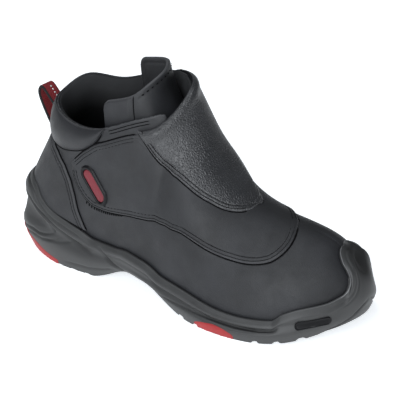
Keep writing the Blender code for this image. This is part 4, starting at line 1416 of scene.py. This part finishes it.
def add_stitches(bm, path, normal):
    """A row of stitches along a path."""
    sizes = bpy.context.scene.boot_sizes
    stitch, space, thread = (size / MM for size in (sizes.stitch_length, sizes.stitch_space, sizes.thread))
    run = run_along(path)
    for k in range(int(run[-1] / (stitch + space))):
        middle = (k + 0.5) * (stitch + space)
        start, end = (points_at(path, run, middle + way * stitch / 2) for way in (-1, 1))
        forward, up = unit(end - start), unit(points_at(normal, run, middle))
        turn = Matrix((forward, np.cross(up, forward), up)).transposed().to_4x4()
        half_sizes = (np.linalg.norm(end - start) / 2, thread / 2, thread / 2)
        add_ball(bm, (start + end) / 2, turn, half_sizes, 1)


def add_cord(bm, line, radius):
    """A thin round line along a path, closed at both ends."""
    run = unit(np.gradient(line, axis=0))
    side = unit(np.cross(run, np.array([0.13, 0.21, 0.97])))
    up = np.cross(side, run)
    turn = np.linspace(0, 2 * math.pi, 7)[:, None]
    ends = np.minimum(np.arange(len(line)), np.arange(len(line))[::-1])
    thick = radius * ramp(ends / 2)[:, None, None]
    ring = side[:, None] * np.cos(turn) + up[:, None] * np.sin(turn)
    add_surface(bm, line[:, None] + ring * thick)


def with_inward(line, normal, side):
    """A line with its normals and the direction into its panel."""
    return line, normal, unit(np.cross(normal, np.gradient(line, axis=0)) * side)


def edge_frame(u, share, side):
    return with_inward(wall(u, share), skin_normal(u, share), side)


def seam_lines():
    """Each seam as its line, normals and direction into its panel, with the panel's height and its foot."""
    heights = (OVERLAY - 0.2, 0.25)
    seams = []
    flap = flap_base()
    flap_normal = grid_normals(flap)
    for mirrored in SIDES:
        side = -1 if mirrored else 1
        sewn = (slice(8, -26), -1) if mirrored else (slice(4, -6), 0)
        seams.append((*with_inward(flap[sewn], flap_normal[sewn], side), 1.85, 0.5))
        for name, last, into in (("saddle_low", 10.92, side), ("saddle_high", 4.4, -side)):
            seams.append((*edge_frame(*edge_line(name, 2.34, last, mirrored), into), *heights))
    u, share = counter_grid()
    for column, side in ((0, -1), (-1, 1)):
        seams.append((*edge_frame(u[column], share[column], side), *heights))
    return seams


def tongue_rows():
    """Lines on the tongue: along its upper border, and down its outer tab."""
    points, run = tongue_sheet()
    normal = grid_normals(points)
    columns = np.nonzero(run > TONGUE_TAB + 6)[0][:-6]
    border = [points_at(path, run_along(path), 4.0) for path in points[columns, ::-1]]
    tab = np.argmin(np.abs(run - TONGUE_TAB + 3.0))
    return [(np.array(border), normal[columns, -14]), (points[tab, 8:-7], normal[tab, 8:-7])]


def overlock():
    """Slanting stitches under the saddle's edge, next to the counter, which get shorter to the front."""
    stitches = []
    for mirrored in SIDES:
        u, share = edge_line("saddle_low", *OVERLOCK_SPAN, mirrored)
        line, normal, inward = edge_frame(u, share, -1 if mirrored else 1)
        for k in range(OVERLOCK_STITCHES):
            at = int((k + 0.5) / OVERLOCK_STITCHES * (len(line) - 12))
            reach = 3.6 - 2.2 * k / OVERLOCK_STITCHES
            start, end = line[at] - inward[at] * 0.7, line[at + 9] - inward[at] * reach
            stitches.append(start + (end - start) * np.linspace(0, 1, 7)[:, None] + normal[at] * 0.3)
    return stitches


def make_stitching():
    """Twin rows along the flap, the saddle and the counter."""
    bm = new_bmesh()
    for line, normal, inward, high, _ in seam_lines():
        for inset in twin_rows():
            add_stitches(bm, line + inward * inset + normal * high, normal)
    piece("stitching", bm, [finish("thread")], weld=False)


def make_seam_edges():
    """Cords of painted shadow at the foot of each sewn panel and under the cuff's edge, painted shade in the
    furrows of its stitches, and the finer seams and stitches in the same dark colour.
    """
    bm = new_bmesh()
    for line, normal, inward, high, foot in seam_lines():
        # painted shadow: a dark cord on the upper along the panel's foot, where its edge would shade it
        add_cord(bm, dense(line - inward * 0.25 + normal * foot, 0.9), 0.55)
        for inset in twin_rows():
            # painted shade along the furrows of the twin rows
            add_cord(bm, dense(line + inward * inset + normal * (high - 0.25), 0.9), 0.33)
    for mirrored in SIDES:
        u, share = edge_line("opening", *COLLAR_SEAM_SPAN, mirrored)
        line, normal, inward = edge_frame(u, np.minimum(share, 0.995), 1 if mirrored else -1)
        for inset in COLLAR_SEAM_INSETS:
            add_cord(bm, dense(line + inward * inset + normal * 0.05, 0.9), 0.35)
    for line, normal in tongue_rows():
        path = dense(line + normal * 0.25, 0.4)
        for start in range(0, len(path) - 6, 11):
            add_cord(bm, path[start : start + 7], 0.4)
    for stitch in overlock():
        add_cord(bm, stitch, 0.42)
    points, run = tongue_sheet()
    tab = np.argmin(np.abs(run - TONGUE_TAB))
    add_cord(bm, dense((points + grid_normals(points) * 0.1)[tab, 3:-2], 0.9), 0.4)
    # painted shadow: a dark cord under the cuff's lower edge
    u = np.linspace(0.1 - CUFF_END, CUFF_END - 0.1, 300)
    add_cord(bm, dense(lifted(u, edge("cuff_low", u), 0.4), 0.9), 0.7)
    piece("seam_edges", bm, [finish("edge_dye")])


# Stage


def add_camera():
    data = bpy.data.cameras.new("camera")
    data.lens = CAMERA["lens"]
    made = bpy.data.objects.new("camera", data)
    bpy.context.scene.collection.objects.link(made)
    a, e = math.radians(CAMERA["azimuth"]), math.radians(CAMERA["elevation"])
    back = Vector((math.sin(a) * math.cos(e), -math.cos(a) * math.cos(e), math.sin(e)))
    made.location = Vector(CAMERA["aim"]) + back * CAMERA["distance"]
    turn = (-back).to_track_quat("-Z", "Y").to_matrix().to_4x4()
    made.rotation_euler = (turn @ Matrix.Rotation(math.radians(CAMERA["roll"]), 4, "Z")).to_euler()
    bpy.context.scene.camera = made


def add_lights():
    for name, (place, size, power) in LIGHTS.items():
        data = bpy.data.lights.new(name, "AREA")
        data.shape = "DISK"
        data.size = size
        data.energy = power
        data.color = LIGHT_COLOUR
        made = bpy.data.objects.new(name, data)
        made.location = place
        made.rotation_euler = (Vector(LIT_PLACE) - Vector(place)).to_track_quat("-Z", "Y").to_euler()
        bpy.context.scene.collection.objects.link(made)
    world = bpy.data.worlds.new("studio")
    world.use_nodes = True
    sky = world.node_tree.nodes["Background"]
    plug(world.node_tree, sky, {"Color": (*LIGHT_COLOUR, 1), "Strength": SKY_STRENGTH})
    bpy.context.scene.world = world
    bpy.context.scene.view_settings.view_transform = "Standard"


def add_floor():
    bm = bmesh.new()
    bmesh.ops.create_grid(bm, x_segments=1, y_segments=1, size=FLOOR_HALF)
    mesh = bpy.data.meshes.new("floor")
    bm.to_mesh(mesh)
    bm.free()
    mesh.materials.append(finish("floor"))
    floor = bpy.data.objects.new("floor", mesh)
    bpy.context.scene.collection.objects.link(floor)


# Sizes, colours, operators and panel


def length(name, description, default):
    return bpy.props.FloatProperty(
        name=name, description=description, default=default, min=0.0001, precision=4, subtype="DISTANCE",
        unit="LENGTH",
    )


def colour(name, description, default):
    return bpy.props.FloatVectorProperty(
        name=name, description=description, default=default, size=3, min=0, max=1, subtype="COLOR"
    )


class BootSizes(bpy.types.PropertyGroup):
    """Sizes of the sewing."""

    stitch_length: length("Stitch", "Length of one stitch", 0.0023)
    stitch_space: length("Space", "Space between two stitches", 0.0009)
    thread: length("Thread", "Thickness of the thread", 0.0007)
    seam_inset: length("Inset", "Distance of the first row of stitches from the panel's edge", 0.002)
    seam_gap: length("Gap", "Distance between the twin rows of stitches", 0.0024)


class BootColours(bpy.types.PropertyGroup):
    """Colours of the materials."""

    leather: colour("Leather", "Matt charcoal leather", (0.0125, 0.013, 0.0152))
    flap: colour("Flap", "Pebbled leather of the flap", (0.0125, 0.013, 0.0152))
    cuff: colour("Cuff", "Leather of the padded cuff", (0.0125, 0.013, 0.0152))
    rubber: colour("Sole", "Rubber of the sole", (0.029, 0.0295, 0.03))
    red_rubber: colour("Red rubber", "Inserts in the tread", (0.3, 0.025, 0.026))
    badge: colour("Badge", "Bare badge on the saddle", (0.145, 0.012, 0.02))
    trim: colour("Trim", "Frames and webbing edges", (0.004, 0.004, 0.005))
    thread: colour("Thread", "Sewing thread", (0.014, 0.014, 0.015))
    # painted shade along the seams, in the same dark material as the finer stitches
    edge_dye: colour("Edge dye", "Painted shade at panel edges and in seam furrows, and dark thread", (0.003, 0.003, 0.0035))
    dots: colour("Dots", "White marks on the loop", (0.75, 0.75, 0.75))
    lining: colour("Lining", "Textile inside the boot", (0.004, 0.004, 0.0055))
    collar_lining: colour("Collar lining", "Lining round the inside of the collar", (0.022, 0.0225, 0.024))
    webbing: colour("Webbing", "Middle of the pull loop", (0.2, 0.012, 0.016))
    floor: colour("Floor", "Floor of the stage", (0.93, 0.93, 0.93))


class BOOT_OT_sole(bpy.types.Operator):
    """Mould the sole with its side lines, bumper and lugs"""

    bl_idname = "boot.sole"
    bl_label = "Sole and inserts"

    def execute(self, context):
        make_sole()
        return {"FINISHED"}


class BOOT_OT_upper(bpy.types.Operator):
    """Last the upper, its lining and the insole"""

    bl_idname = "boot.upper"
    bl_label = "Upper, lining and insole"

    def execute(self, context):
        make_upper()
        make_lining()
        make_insole()
        return {"FINISHED"}


class BOOT_OT_panels(bpy.types.Operator):
    """Lay the saddle and the heel counter on the upper"""

    bl_idname = "boot.panels"
    bl_label = "Saddle and counter"

    def execute(self, context):
        make_saddle()
        make_counter()
        return {"FINISHED"}


class BOOT_OT_flap(bpy.types.Operator):
    """Sew the pebbled flap over the instep"""

    bl_idname = "boot.flap"
    bl_label = "Instep flap"

    def execute(self, context):
        make_flap()
        return {"FINISHED"}


class BOOT_OT_collar(bpy.types.Operator):
    """Pad the cuff, wrap the tongue and hang the pull loop"""

    bl_idname = "boot.collar"
    bl_label = "Cuff, tongue and loop"

    def execute(self, context):
        make_cuff()
        make_tongue()
        make_gusset()
        make_loop()
        return {"FINISHED"}


class BOOT_OT_trim(bpy.types.Operator):
    """Set the bare badge and the bumper's plate"""

    bl_idname = "boot.trim"
    bl_label = "Badge and plate"

    def execute(self, context):
        make_badge()
        make_plate()
        return {"FINISHED"}


class BOOT_OT_stitching(bpy.types.Operator):
    """Sew the seams"""

    bl_idname = "boot.stitching"
    bl_label = "Stitching"

    def execute(self, context):
        make_stitching()
        make_seam_edges()
        return {"FINISHED"}


class BOOT_OT_stage(bpy.types.Operator):
    """Set up the floor, the lights and the camera"""

    bl_idname = "boot.stage"
    bl_label = "Stage"

    def execute(self, context):
        add_camera()
        add_lights()
        add_floor()
        return {"FINISHED"}


OPERATORS = (
    BOOT_OT_sole,
    BOOT_OT_upper,
    BOOT_OT_panels,
    BOOT_OT_flap,
    BOOT_OT_collar,
    BOOT_OT_trim,
    BOOT_OT_stitching,
    BOOT_OT_stage,
)


class BOOT_PT_panel(bpy.types.Panel):
    """Steps that build the boot, with its sizes and colours"""

    bl_idname = "BOOT_PT_panel"
    bl_label = "Welding boot"
    bl_space_type = "VIEW_3D"
    bl_region_type = "UI"
    bl_category = "Boot"

    def draw(self, context):
        for step in OPERATORS:
            self.layout.operator(step.bl_idname)
        for group in (context.scene.boot_sizes, context.scene.boot_colours):
            for name in group.__annotations__:
                self.layout.prop(group, name)


CLASSES = (BootSizes, BootColours, *OPERATORS, BOOT_PT_panel)


def register():
    for cls in CLASSES:
        bpy.utils.register_class(cls)
    bpy.types.Scene.boot_sizes = bpy.props.PointerProperty(type=BootSizes)
    bpy.types.Scene.boot_colours = bpy.props.PointerProperty(type=BootColours)


def unregister():
    del bpy.types.Scene.boot_colours
    del bpy.types.Scene.boot_sizes
    for cls in reversed(CLASSES):
        bpy.utils.unregister_class(cls)


def main():
    register()
    bpy.ops.boot.sole()
    bpy.ops.boot.upper()
    bpy.ops.boot.panels()
    bpy.ops.boot.flap()
    bpy.ops.boot.collar()
    bpy.ops.boot.trim()
    bpy.ops.boot.stitching()
    bpy.ops.boot.stage()


if __name__ == "__main__":
    main()
